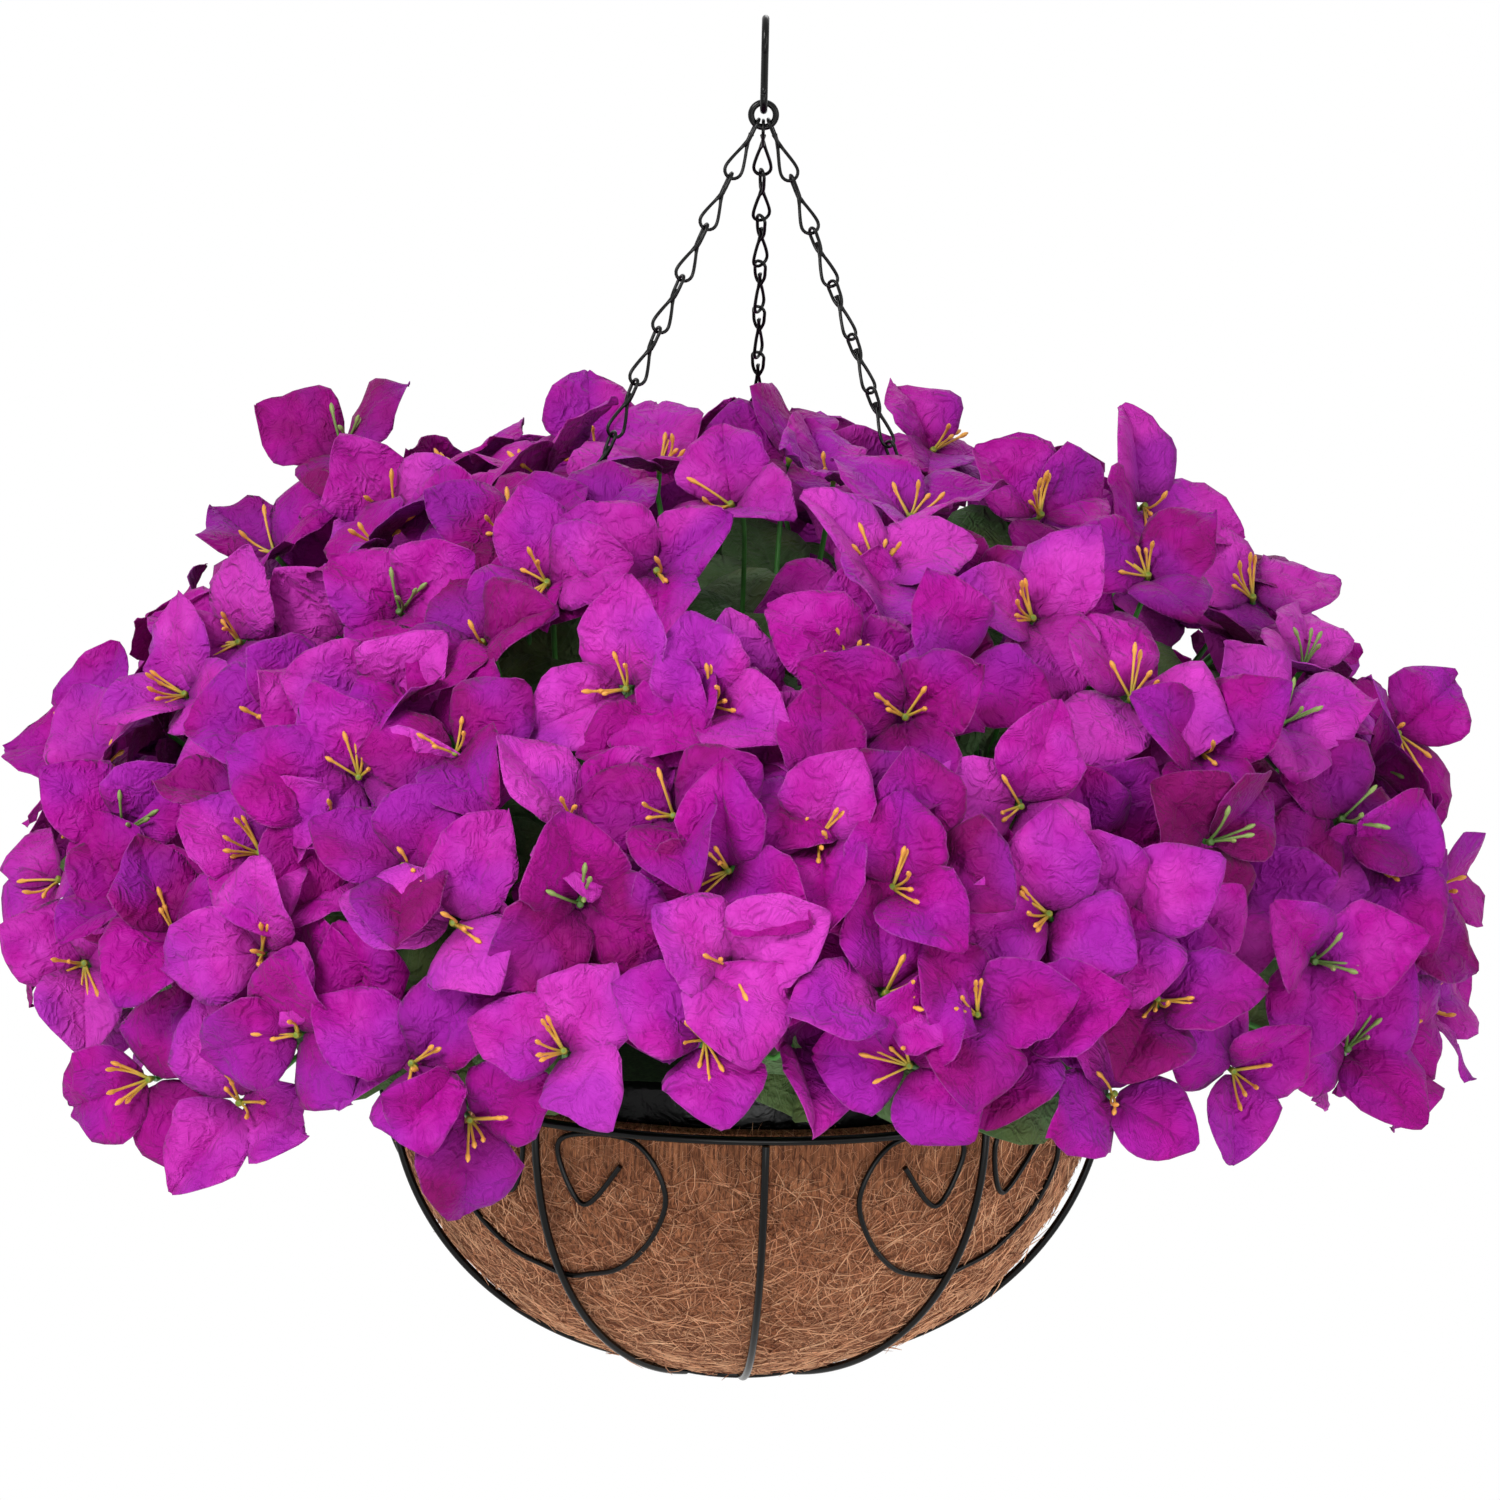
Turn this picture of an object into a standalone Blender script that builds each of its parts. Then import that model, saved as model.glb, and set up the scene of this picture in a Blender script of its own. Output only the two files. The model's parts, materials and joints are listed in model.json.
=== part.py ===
"""A hanging basket: a wire bowl with a coir liner, hung on three link chains
and filled with bushes of artificial flowers.

Lengths are in metres, +Z is up and the front faces -Y. The origin is the point
inside the top bend of the S-hook that rests on whatever the basket hangs from.
"""

import math

import bmesh
import bpy
from mathutils import Matrix, Quaternion, Vector

MM = 0.001

# Fits between the pieces
SEAT_GAP = 0.3 * MM
STEM_CLEARANCE = 0.5 * MM
CHAIN_CLEARANCE = 2.0 * MM
BUSH_CLEARANCE = 0.8 * MM
LINK_FUSE = 0.4 * MM

# S-hook, bent in the YZ plane
HOOK_WIRE = 3.0 * MM
HOOK_MOUTH = 14.0 * MM
HOOK_EYE = 10.0 * MM
HOOK_LENGTH = 39.5 * MM

# Gather ring, in the XZ plane
RING_WIRE = 2.6 * MM
RING_OUTSIDE = 12.4 * MM
RING_LINK_ANGLE = 36.0

# Chains: a plan azimuth, a place on the ring and how far the flowers push it out, for each
CHAINS = (
    ("left", 210.0, -RING_LINK_ANGLE, 34.0 * MM),
    ("right", 330.0, RING_LINK_ANGLE, 22.0 * MM),
    ("back", 90.0, 0.0, 28.0 * MM),
)
LINK_WIRE = 1.4 * MM
LINK_PITCH = 23.0 * MM
LINK_LOOP = 2.4 * MM
LINK_TEARDROP = 3.2 * MM
LINK_NECK = 1.1 * MM
LINK_NECK_TOP = 8.5 * MM
LINK_NECK_LENGTH = 2.6 * MM
CHAIN_DROP = 375.0 * MM
CHAIN_SAMPLES = 400
LOOSE_LINKS = 8

# Wire bowl
RIM_OUTSIDE = 305.0 * MM
RIM_WIRE = 3.6 * MM
BOWL_DEPTH = 133.0 * MM
RIB_COUNT = 10
RIB_WIRE = 3.2 * MM
RIB_TURN = 273.8
BASE_RING = 74.0 * MM
HEART_COUNT = 5
HEART_WIRE = 2.2 * MM
# Half of a heart scroll from its free end: distance along the rim from its rib, and depth below
# the rim
HEART_HALF = (
    (36.0 * MM, 14.5 * MM),
    (18.5 * MM, 33.0 * MM),
    (8.5 * MM, 13.0 * MM),
    (15.0 * MM, 4.0 * MM),
    (42.0 * MM, 4.0 * MM),
    (54.5 * MM, 24.0 * MM),
    (48.0 * MM, 44.0 * MM),
    (31.0 * MM, 60.0 * MM),
    (12.0 * MM, 66.0 * MM),
)

# Liner, film and foam
LINER_STANDOFF = 3.0 * MM
LINER_WALL = 8.0 * MM
LINER_ABOVE_RIM = 3.0 * MM
FILM_WALL = 0.8 * MM
FILM_ABOVE_RIM = 18.0 * MM
FOAM_BELOW_RIM = 6.0 * MM

# Flower bushes
STEM_RADIUS = 4.0 * MM
STEM_DEPTH = 42.0 * MM
STEM_CIRCLE = 104.0 * MM
STEM_ABOVE_FILM = 30.0 * MM
BUSH_COUNT = 9
CROWN_APOTHEM = 78.0 * MM
STALK_RADIUS = 1.8 * MM
STALK_RISE = 8.0 * MM
STALK_TURN = 10.0 * MM
STALK_STRAIGHT = 0.6
BRACT_LENGTH = 39.0 * MM
BRACT_CUP = 13.0 * MM
BRACT_THICK = 3.0 * MM
BRACT_NOTCH = 0.68
NOTCH_CUP = 6.0 * MM
# The dome on which the flowers' centres lie
DOME_RADIUS = 277.0 * MM
DOME_RISE = 193.0 * MM
DOME_DROP = 54.0 * MM
DOME_ABOVE_RIM = 45.0 * MM

# The photo's view: its middle pixel, how the rim stands in it, and the eye's height and lean
PHOTO_MIDDLE_PX = (750, 750)
RIM_CENTRE_PX = (742.5, 1044)
RIM_WIDTH_PX = 752
VIEW_TILT = 12.5
VIEW_LEAN = 1.3
VIEW_DISTANCE = 3500.0 * MM
VIEW_STEPS = 900
# Flowers in the photo: the pixel of the centre, and the direction of one bract clockwise from upright
FLOWERS_PX = (
    (344, 452, 46), (596, 458, 349), (819, 449, 12), (930, 455, 345), (730, 513, 350), (514, 541, 60),
    (399, 519, 80), (1038, 519, 60), (1140, 509, 105), (277, 557, 65), (648, 573, 60), (863, 576, 66),
    (402, 615, 60), (485, 647, 98), (242, 643, 130), (1032, 621, 44), (1252, 602, 60), (188, 697, 0),
    (287, 729, 14), (628, 690, 7), (712, 707, 350), (848, 669, 75), (1129, 701, 105), (1300, 672, 20),
    (1395, 736, 40), (95, 750, 10), (360, 777, 91), (457, 755, 38), (575, 825, 65), (675, 818, 51),
    (824, 795, 112), (1020, 806, 30), (1197, 752, 62), (124, 833, 60), (263, 855, 51), (405, 870, 45),
    (730, 871, 122), (927, 846, 0), (1206, 842, 64), (1338, 822, 100), (175, 935, 90), (265, 954, 27),
    (456, 925, 34), (580, 903, 0), (730, 967, 55), (883, 995, 10), (1049, 916, 12), (1156, 1002, 90),
    (1312, 960, 85), (1402, 918, 113), (86, 964, 50), (153, 1078, 25), (242, 1101, 100), (301, 1034, 25),
    (414, 1064, 5), (469, 1117, 30), (565, 1053, 40), (704, 1042, 57), (911, 1066, 30), (991, 1015, 70),
    (1230, 1069, 60), (1345, 1050, 27), (1110, 1095, 0), (819, 841, 40), (892, 890, 10), (905, 717, 55),
    (548, 586, 100), (325, 807, 72), (1147, 580, 30), (1280, 726, 60), (1376, 868, 40),
)
# How much the seen flowers turn to the viewer and upward
FACE_VIEW = 1.2
FACE_UP = 0.25
# The rest of the dome is filled along a spiral from its top, wherever there is room
FILL_STEPS = 600
FILL_LOWEST = -0.6
FILL_FRONT = 0.45
FLOWER_SPACING = 48.0 * MM
GOLDEN_ANGLE = math.pi * (3.0 - math.sqrt(5.0))
FLOWER_TILT = 14.0

# Facets
WIRE_STEPS = 36
RIB_STEPS = 9
TURN_STEPS = 30
MERGE = 1e-6
REGION_REACH = 1.5

# Heights that follow from the sizes above
HOOK_EYE_SEAT = HOOK_WIRE - HOOK_LENGTH + HOOK_WIRE
RING_RADIUS = (RING_OUTSIDE - RING_WIRE) / 2
RING_PIVOT_Z = HOOK_EYE_SEAT - HOOK_WIRE / 2
RING_CENTRE_Z = HOOK_EYE_SEAT + SEAT_GAP - (RING_RADIUS - RING_WIRE / 2)
SIDE_LINK_RISE = RING_RADIUS * (1 - math.cos(math.radians(RING_LINK_ANGLE)))
BASKET_PIVOT_Z = RING_CENTRE_Z - RING_RADIUS + SIDE_LINK_RISE / 2
RIM_Z = RING_CENTRE_Z - RING_RADIUS - CHAIN_DROP
RIM_RADIUS = (RIM_OUTSIDE - RIM_WIRE) / 2
BASE_RADIUS = (BASE_RING - RIB_WIRE) / 2
RIB_END_RADIUS = BASE_RADIUS + RIB_WIRE / 2 + 2 * SEAT_GAP
BASE_DEPTH = BOWL_DEPTH * math.sqrt(1 - (RIB_END_RADIUS / RIM_RADIUS) ** 2)
HEART_INSET = (RIB_WIRE + HEART_WIRE) / 2 + SEAT_GAP
LINER_RADIUS = RIM_RADIUS - HEART_INSET - HEART_WIRE / 2 - LINER_STANDOFF
LINER_DEPTH = BOWL_DEPTH - RIB_WIRE / 2 - SEAT_GAP
LINER_FLOOR = BASE_DEPTH - RIB_WIRE / 2 - SEAT_GAP
FILM_INSET = LINER_WALL + SEAT_GAP
FOAM_INSET = FILM_INSET + FILM_WALL + SEAT_GAP
FOAM_TOP_Z = RIM_Z - FOAM_BELOW_RIM
STEM_TOP_Z = RIM_Z + FILM_ABOVE_RIM + STEM_ABOVE_FILM
STALK_CLEAR_Z = STEM_TOP_Z + STALK_RISE
SLOT_HALF_WIDTH = LINK_TEARDROP + LINK_WIRE / 2 + CHAIN_CLEARANCE
SECTOR = math.tau / BUSH_COUNT
FIRST_SECTOR = math.radians(CHAINS[2][1])
CROWN_TOP = DOME_ABOVE_RIM + DOME_RISE + BRACT_LENGTH
CROWN_SHARE = 1 - CROWN_TOP / CHAIN_DROP
CROWN_BULGE = 2 * CROWN_SHARE * (1 - CROWN_SHARE) * min(bulge for _, _, _, bulge in CHAINS)
CROWN_CORNER = RIM_RADIUS * CROWN_SHARE + CROWN_BULGE - SLOT_HALF_WIDTH
VIEW_SCALE = RIM_OUTSIDE / RIM_WIDTH_PX


def start_empty():
    """Remove what the file holds."""
    for item in list(bpy.data.objects):
        bpy.data.objects.remove(item, do_unlink=True)


def linear(hex_colour):
    """An sRGB hex colour as linear RGBA."""
    channels = [int(hex_colour[i:i + 2], 16) / 255 for i in (1, 3, 5)]
    return [c / 12.92 if c <= 0.04045 else ((c + 0.055) / 1.055) ** 2.4 for c in channels] + [1.0]


def finish(name, hex_colour, roughness, metallic=0.0):
    """A Principled material."""
    material = bpy.data.materials.new(name)
    material.use_nodes = True
    shader = material.node_tree.nodes["Principled BSDF"]
    shader.inputs["Base Color"].default_value = linear(hex_colour)
    shader.inputs["Roughness"].default_value = roughness
    shader.inputs["Metallic"].default_value = metallic
    return material


def pivot(name, height):
    """An empty on a joint's axis, which carries the pieces that swing there."""
    empty = bpy.data.objects.new(name, None)
    empty.location = (0, 0, height)
    bpy.context.collection.objects.link(empty)
    return empty


def add_object(name, data, material, parent=None, place=None):
    """Link an object into the scene, with its place in the whole basket's frame."""
    item = bpy.data.objects.new(name, data)
    bpy.context.collection.objects.link(item)
    if not data.materials:
        data.materials.append(material)
    if parent:
        item.parent = parent
        item.matrix_parent_inverse = Matrix.Translation(parent.location).inverted()
    item.matrix_basis = place or Matrix.Identity(4)
    return item


def mesh_from(name, bm):
    """Turn a finished bmesh into a mesh with outward faces."""
    bmesh.ops.recalc_face_normals(bm, faces=bm.faces)
    mesh = bpy.data.meshes.new(name)
    bm.to_mesh(mesh)
    bm.free()
    return mesh


def wire(name, points, diameter, closed=False, sides_step=1):
    """A round wire along a list of points."""
    curve = bpy.data.curves.new(name, "CURVE")
    curve.dimensions = "3D"
    curve.bevel_depth = diameter / 2
    curve.bevel_resolution = sides_step
    curve.use_fill_caps = not closed
    spline = curve.splines.new("POLY")
    spline.points.add(len(points) - 1)
    for target, point in zip(spline.points, points):
        target.co = (*point, 1)
    spline.use_cyclic_u = closed
    return curve


def arc(centre, radius, start, end, steps):
    """Points on a circle in a plane of two coordinates, angles in degrees."""
    angles = [math.radians(start + (end - start) * i / steps) for i in range(steps + 1)]
    return [(centre[0] + radius * math.cos(a), centre[1] + radius * math.sin(a)) for a in angles]


def hoop_points(radius, steps):
    """Points round a level circle."""
    return [(radius * math.cos(math.tau * i / steps), radius * math.sin(math.tau * i / steps), 0)
            for i in range(steps)]


def turned(name, profile, steps):
    """A solid of revolution from (radius, height) points, from axis to axis."""
    bm = bmesh.new()
    verts = [bm.verts.new((r, 0, z)) for r, z in profile]
    edges = [bm.edges.new(pair) for pair in zip(verts, verts[1:])]
    bmesh.ops.spin(bm, geom=verts + edges, axis=(0, 0, 1), cent=(0, 0, 0), angle=math.tau, steps=steps)
    bmesh.ops.remove_doubles(bm, verts=bm.verts, dist=MERGE)
    return mesh_from(name, bm)


def make_hook(coat):
    """The S-hook: a wide bend that hangs on the support and a small one for the ring."""
    top = arc((0, -HOOK_MOUTH / 2), (HOOK_MOUTH + HOOK_WIRE) / 2, 205, -28, 12)
    eye_radius = (HOOK_EYE + HOOK_WIRE) / 2
    eye = arc((0, HOOK_EYE_SEAT + HOOK_EYE / 2), eye_radius, 152, 385, 12)
    points = [(0, y, z) for y, z in top + eye]
    add_object("s_hook", wire("s_hook", points, HOOK_WIRE), coat)


def make_ring(coat, carrier):
    """The ring in which the three chains meet."""
    circle = arc((0, RING_CENTRE_Z), RING_RADIUS, 0, 360, 20)[:-1]
    points = [(x, 0, z) for x, z in circle]
    add_object("gather_ring", wire("gather_ring", points, RING_WIRE, closed=True), coat, carrier)


def link_points(length):
    """One wire bent to a figure of eight along -Z: the upper loop opens along Y,
    the teardrop along X, and the two strands trade places in the neck."""
    flat = math.tan(math.radians(22.5))
    round_off = 1 - flat
    strand = [
        (0, flat * LINK_LOOP, 0),
        (0, LINK_LOOP, round_off * LINK_LOOP),
        (0, LINK_NECK, LINK_NECK_TOP),
        (LINK_NECK, 0, LINK_NECK_TOP + LINK_NECK_LENGTH),
        (LINK_TEARDROP, 0, length - round_off * LINK_TEARDROP),
        (flat * LINK_TEARDROP, 0, length),
    ]
    down = [(x, y, -t) for x, y, t in strand]
    up = [(-x, -y, -t) for x, y, t in reversed(strand)]
    return down + up


def chain_joints(start, end, push):
    """Points where the links meet: equal steps along a chain that the flowers push outward."""
    control = start.lerp(end, 0.5) + push
    curve = []
    for i in range(CHAIN_SAMPLES + 1):
        t = i / CHAIN_SAMPLES
        curve.append(start * (1 - t) ** 2 + control * (2 * t * (1 - t)) + end * t ** 2)
    lengths = [0.0]
    for a, b in zip(curve, curve[1:]):
        lengths.append(lengths[-1] + (b - a).length)
    count = round(lengths[-1] / LINK_PITCH)
    joints = [start]
    for i in range(1, count):
        wanted = lengths[-1] * i / count
        k = next(k for k, length in enumerate(lengths) if length > wanted)
        share = (wanted - lengths[k - 1]) / (lengths[k] - lengths[k - 1])
        joints.append(curve[k - 1].lerp(curve[k], share))
    return joints + [end]


def link_place(top, bottom, across):
    """The matrix that hangs a link from one point towards another, its teardrop opening across."""
    down = (bottom - top).normalized()
    side = (across - down * across.dot(down)).normalized()
    turn = Matrix((side, down.cross(side) * -1, down * -1)).transposed()
    return Matrix.Translation(top) @ turn.to_4x4()


def carve(name, base, cuts):
    """Apply Booleans to a guide object, and return the mesh. The guides are removed.
    The manifold solver keeps every edge between two faces where shells touch."""
    for operation, other in cuts:
        cut = base.modifiers.new(operation, "BOOLEAN")
        cut.operation = operation
        cut.solver = "MANIFOLD"
        if isinstance(other, bpy.types.Collection):
            cut.operand_type = "COLLECTION"
            cut.collection = other
        else:
            cut.object = other
    depsgraph = bpy.context.evaluated_depsgraph_get()
    result = bpy.data.meshes.new_from_object(base.evaluated_get(depsgraph), depsgraph=depsgraph)
    result.name = name
    result.materials.clear()
    for _, other in cuts:
        if isinstance(other, bpy.types.Collection):
            for item in list(other.objects):
                bpy.data.objects.remove(item, do_unlink=True)
            bpy.data.collections.remove(other)
        else:
            bpy.data.objects.remove(other, do_unlink=True)
    bpy.data.objects.remove(base, do_unlink=True)
    return result


def add_guide(mesh, collection=None):
    """An object that only cuts or joins."""
    item = bpy.data.objects.new(mesh.name, mesh)
    (collection or bpy.context.scene.collection).objects.link(item)
    item.hide_render = True
    item.display_type = "WIRE"
    return item


def join_shells(name, shells, space=None):
    """One body from closed meshes that overlap, kept inside a space where one is given."""
    group = bpy.data.collections.new(name + "_shells")
    bpy.context.scene.collection.children.link(group)
    for mesh in shells[1:]:
        add_guide(mesh, group)
    cuts = [("UNION", group)]
    if space:
        cuts.append(("INTERSECT", add_guide(space)))
    return carve(name, add_guide(shells[0]), cuts)


def mesh_of_wire(name, curve, place):
    """The mesh of a wire, moved to its place."""
    item = bpy.data.objects.new(name, curve)
    bpy.context.collection.objects.link(item)
    depsgraph = bpy.context.evaluated_depsgraph_get()
    mesh = bpy.data.meshes.new_from_object(item.evaluated_get(depsgraph), depsgraph=depsgraph)
    bpy.data.objects.remove(item, do_unlink=True)
    mesh.transform(place)
    return mesh


def make_chain(side, azimuth_deg, ring_angle, bulge, coat, carrier):
    """One chain: loose links at the top, and the lower links joined to one stretch."""
    azimuth = math.radians(azimuth_deg)
    angle = math.radians(ring_angle)
    start = Vector((RING_RADIUS * math.sin(angle), 0, RING_CENTRE_Z - RING_RADIUS * math.cos(angle)))
    radial = Vector((math.cos(azimuth), math.sin(azimuth), 0))
    end = radial * RIM_RADIUS + Vector((0, 0, RIM_Z))
    joints = chain_joints(start, end, radial * bulge)
    ring_tangent = Vector((math.cos(angle), 0, math.sin(angle)))
    rim_across = radial if radial.dot(ring_tangent) >= 0 else -radial
    last = len(joints) - 2
    stretch = []
    for i, (top, bottom) in enumerate(zip(joints, joints[1:])):
        down = (bottom - top).normalized()
        joint_gap = SEAT_GAP if i <= LOOSE_LINKS else -LINK_FUSE
        next_gap = SEAT_GAP if i < LOOSE_LINKS else -LINK_FUSE
        rise = (LINK_WIRE + joint_gap) / 2
        fall = (LINK_WIRE + next_gap) / 2
        if i == 0:
            rise = (RING_WIRE + LINK_WIRE) / 2 + SEAT_GAP
        if i == last:
            fall = (RIM_WIRE + LINK_WIRE) / 2 + SEAT_GAP
        length = (bottom - top).length + rise + fall
        across = ring_tangent.lerp(rim_across, i / last)
        place = link_place(top - down * rise, bottom, across)
        name = f"chain_{side}_link_{i + 1:02d}"
        curve = wire(name, link_points(length), LINK_WIRE, closed=True, sides_step=0)
        if i < LOOSE_LINKS:
            add_object(name, curve, coat, carrier, place)
        else:
            stretch.append(mesh_of_wire(name, curve, place))
    name = f"chain_{side}_lower"
    add_object(name, join_shells(name, stretch), coat, carrier)


def bowl_radius(depth, inset=0.0):
    """Radius of the bowl's elliptic wall at a depth below the rim."""
    share = min(depth / (BOWL_DEPTH - inset), 1.0)
    return (RIM_RADIUS - inset) * math.sqrt(1 - share ** 2)


def smooth_points(points, steps):
    """A Catmull-Rom curve through points of any dimension."""
    padded = [points[0]] + list(points) + [points[-1]]
    out = []
    for a, b, c, d in zip(padded, padded[1:], padded[2:], padded[3:]):
        for i in range(steps):
            t = i / steps
            out.append(tuple(
                0.5 * (2 * q + (r - p) * t + (2 * p - 5 * q + 4 * r - s) * t ** 2
                       + (3 * q - p - 3 * r + s) * t ** 3)
                for p, q, r, s in zip(a, b, c, d)))
    out.append(tuple(points[-1]))
    return out


def make_wire_bowl(coat, carrier):
    """Rim, base ring, ribs and heart scrolls."""
    rim_place = Matrix.Translation((0, 0, RIM_Z))
    rim = wire("rim_hoop", hoop_points(RIM_RADIUS, WIRE_STEPS), RIM_WIRE, closed=True)
    add_object("rim_hoop", rim, coat, carrier, rim_place)
    base = wire("base_ring", hoop_points(BASE_RADIUS, WIRE_STEPS // 2), RIB_WIRE, closed=True)
    add_object("base_ring", base, coat, carrier, Matrix.Translation((0, 0, RIM_Z - BASE_DEPTH)))

    top_angle = math.asin((RIM_WIRE / 2 + SEAT_GAP) / BOWL_DEPTH)
    end_angle = math.acos(RIB_END_RADIUS / RIM_RADIUS)
    rib_path = []
    for i in range(RIB_STEPS + 1):
        t = top_angle + (end_angle - top_angle) * i / RIB_STEPS
        rib_path.append((RIM_RADIUS * math.cos(t), 0, -BOWL_DEPTH * math.sin(t)))
    rib = wire("rib", rib_path, RIB_WIRE)
    for i in range(RIB_COUNT):
        turn = Matrix.Rotation(math.radians(RIB_TURN) + math.tau * i / RIB_COUNT, 4, "Z")
        add_object(f"rib_{i + 1:02d}", rib, coat, carrier, rim_place @ turn)

    right = smooth_points(HEART_HALF + ((0.0, HEART_HALF[-1][1] + HEART_WIRE),), 2)
    outline = right + [(-s, h) for s, h in reversed(right[:-1])]
    heart_path = []
    for s, depth in outline:
        radius = bowl_radius(depth, HEART_INSET)
        around = s / RIM_RADIUS
        heart_path.append((radius * math.cos(around), radius * math.sin(around), -depth))
    heart = wire("heart_scroll", heart_path, HEART_WIRE, sides_step=0)
    first_heart = math.radians(RIB_TURN) + math.tau / RIB_COUNT
    for i in range(HEART_COUNT):
        turn = Matrix.Rotation(first_heart + math.tau * i / HEART_COUNT, 4, "Z")
        add_object(f"heart_scroll_{i + 1}", heart, coat, carrier, rim_place @ turn)


def bowl_side(inset, top, floor, wall_steps=4):
    """Profile of a bowl's wall from the axis at its floor up to its top edge."""
    radius = LINER_RADIUS - inset
    depth = LINER_DEPTH - inset
    end = math.asin(min((floor - inset) / depth, 1.0))
    points = [(0.0, inset - floor)]
    for i in range(wall_steps + 1):
        t = end * (1 - i / wall_steps)
        points.append((radius * math.cos(t), -depth * math.sin(t)))
    if top > 0:
        points.append((radius, top))
    return points


def make_filling(coir, plastic, foam, carrier):
    """Coir liner, plastic film and the foam block with a hole for each stem."""
    rim_place = Matrix.Translation((0, 0, RIM_Z))
    liner = bowl_side(0.0, LINER_ABOVE_RIM, LINER_FLOOR)
    liner += reversed(bowl_side(LINER_WALL, LINER_ABOVE_RIM, LINER_FLOOR))
    add_object("coir_liner", turned("coir_liner", liner, TURN_STEPS), coir, carrier, rim_place)

    film = bowl_side(FILM_INSET, FILM_ABOVE_RIM, LINER_FLOOR)
    film += reversed(bowl_side(FILM_INSET + FILM_WALL, FILM_ABOVE_RIM, LINER_FLOOR))
    add_object("film_liner", turned("film_liner", film, TURN_STEPS), plastic, carrier, rim_place)

    wall = [(r, z) for r, z in bowl_side(FOAM_INSET, 0.0, LINER_FLOOR) if z < -FOAM_BELOW_RIM]
    block = wall + [(wall[-1][0], -FOAM_BELOW_RIM), (0.0, -FOAM_BELOW_RIM)]
    base = add_guide(turned("foam_base", block, TURN_STEPS))
    holes = bmesh.new()
    for foot in stem_feet():
        low = foot - Vector((0, 0, FOAM_BELOW_RIM + STEM_DEPTH))
        high = foot + Vector((0, 0, STEM_DEPTH))
        add_tube(holes, [low, high], STEM_RADIUS + STEM_CLEARANCE, 8)
    cutter = add_guide(mesh_from("foam_holes", holes))
    add_object("foam_block", carve("foam_block", base, [("DIFFERENCE", cutter)]), foam, carrier, rim_place)


def sector_middle(index):
    """Plan azimuth of the middle of a bush's sector."""
    return FIRST_SECTOR + SECTOR * (index + 0.5)


def stem_feet():
    """Plan places of the stems: one for each sector and one for the crown."""
    feet = []
    for index in range(BUSH_COUNT):
        middle = sector_middle(index)
        feet.append(Vector((math.cos(middle), math.sin(middle), 0)) * STEM_CIRCLE)
    return feet + [Vector((0, 0, 0))]


def add_rings(bm, points, radius, sides, side=None):
    """Add the sides of a tube along points, and return its rings of corners."""
    rings = []
    for i, point in enumerate(points):
        axis = (points[min(i + 1, len(points) - 1)] - points[max(i - 1, 0)]).normalized()
        side = side or axis.orthogonal()
        side = (side - axis * side.dot(axis)).normalized()
        other = axis.cross(side)
        corners = [math.tau * k / sides for k in range(sides)]
        rings.append([bm.verts.new(point + (side * math.cos(c) + other * math.sin(c)) * radius)
                      for c in corners])
    for low, high in zip(rings, rings[1:]):
        for k in range(sides):
            bm.faces.new((low[k], low[k - 1], high[k - 1], high[k]))
    return rings


def add_tube(bm, points, radius, sides):
    """Add a closed tube along points."""
    rings = add_rings(bm, points, radius, sides)
    bm.faces.new(rings[0])
    bm.faces.new(rings[-1])


def add_flower(bm, turn, path):
    """Add three broad pointed bracts as one cupped star, on a stalk along the path from it."""
    base = path[0]
    centre = bm.verts.new(base + turn.col[2] * BRACT_THICK)
    half_turn = math.pi / 3
    tips = []
    notches = []
    for k in range(3):
        a = 2 * k * half_turn
        tip = Vector((math.cos(a), math.sin(a), 0)) * BRACT_LENGTH
        tip.z = BRACT_CUP
        notch = Vector((math.cos(a - half_turn), math.sin(a - half_turn), 0)) * (BRACT_LENGTH * BRACT_NOTCH)
        notch.z = NOTCH_CUP
        tips.append(bm.verts.new(base + turn @ tip))
        notches.append(bm.verts.new(base + turn @ notch))
    first_notch = turn @ Vector((math.cos(half_turn), -math.sin(half_turn), 0))
    rings = add_rings(bm, path, STALK_RADIUS, 3, first_notch)
    stalk = [min(rings[0], key=lambda v: (v.co - notch.co).length) for notch in notches]
    for k in range(3):
        tip, notch, after = tips[k], notches[k], notches[(k + 1) % 3]
        bm.faces.new((centre, notch, tip))
        bm.faces.new((centre, tip, after))
        bm.faces.new((stalk[k], notch, tip))
        bm.faces.new((stalk[k], tip, stalk[(k + 1) % 3]))
        bm.faces.new((stalk[(k + 1) % 3], tip, after))
    bm.faces.new(rings[-1])


def view_axes():
    """Directions to the right, up and toward the eye in the photo."""
    tilt = math.radians(VIEW_TILT)
    lean = math.radians(VIEW_LEAN)
    level = Vector((1, 0, 0))
    upright = Vector((0, math.sin(tilt), math.cos(tilt)))
    right = level * math.cos(lean) + upright * math.sin(lean)
    up = upright * math.cos(lean) - level * math.sin(lean)
    return right, up, Vector((0, -math.cos(tilt), math.sin(tilt)))


def on_picture(x_px, y_px):
    """The point of a pixel on the plane through the rim's middle that faces the eye."""
    right, up, _ = view_axes()
    across = (x_px - RIM_CENTRE_PX[0]) * VIEW_SCALE
    above = (RIM_CENTRE_PX[1] - y_px) * VIEW_SCALE
    return Vector((0, 0, RIM_Z)) + right * across + up * above


def view_line(x_px, y_px):
    """Points from front to back along the line on which the eye sees a pixel."""
    eye = on_picture(*PHOTO_MIDDLE_PX) + view_axes()[2] * VIEW_DISTANCE
    ahead = (on_picture(x_px, y_px) - eye).normalized()
    near = VIEW_DISTANCE - 1.5 * DOME_RADIUS
    step = 3 * DOME_RADIUS / VIEW_STEPS
    return [eye + ahead * (near + step * i) for i in range(VIEW_STEPS)]


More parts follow.
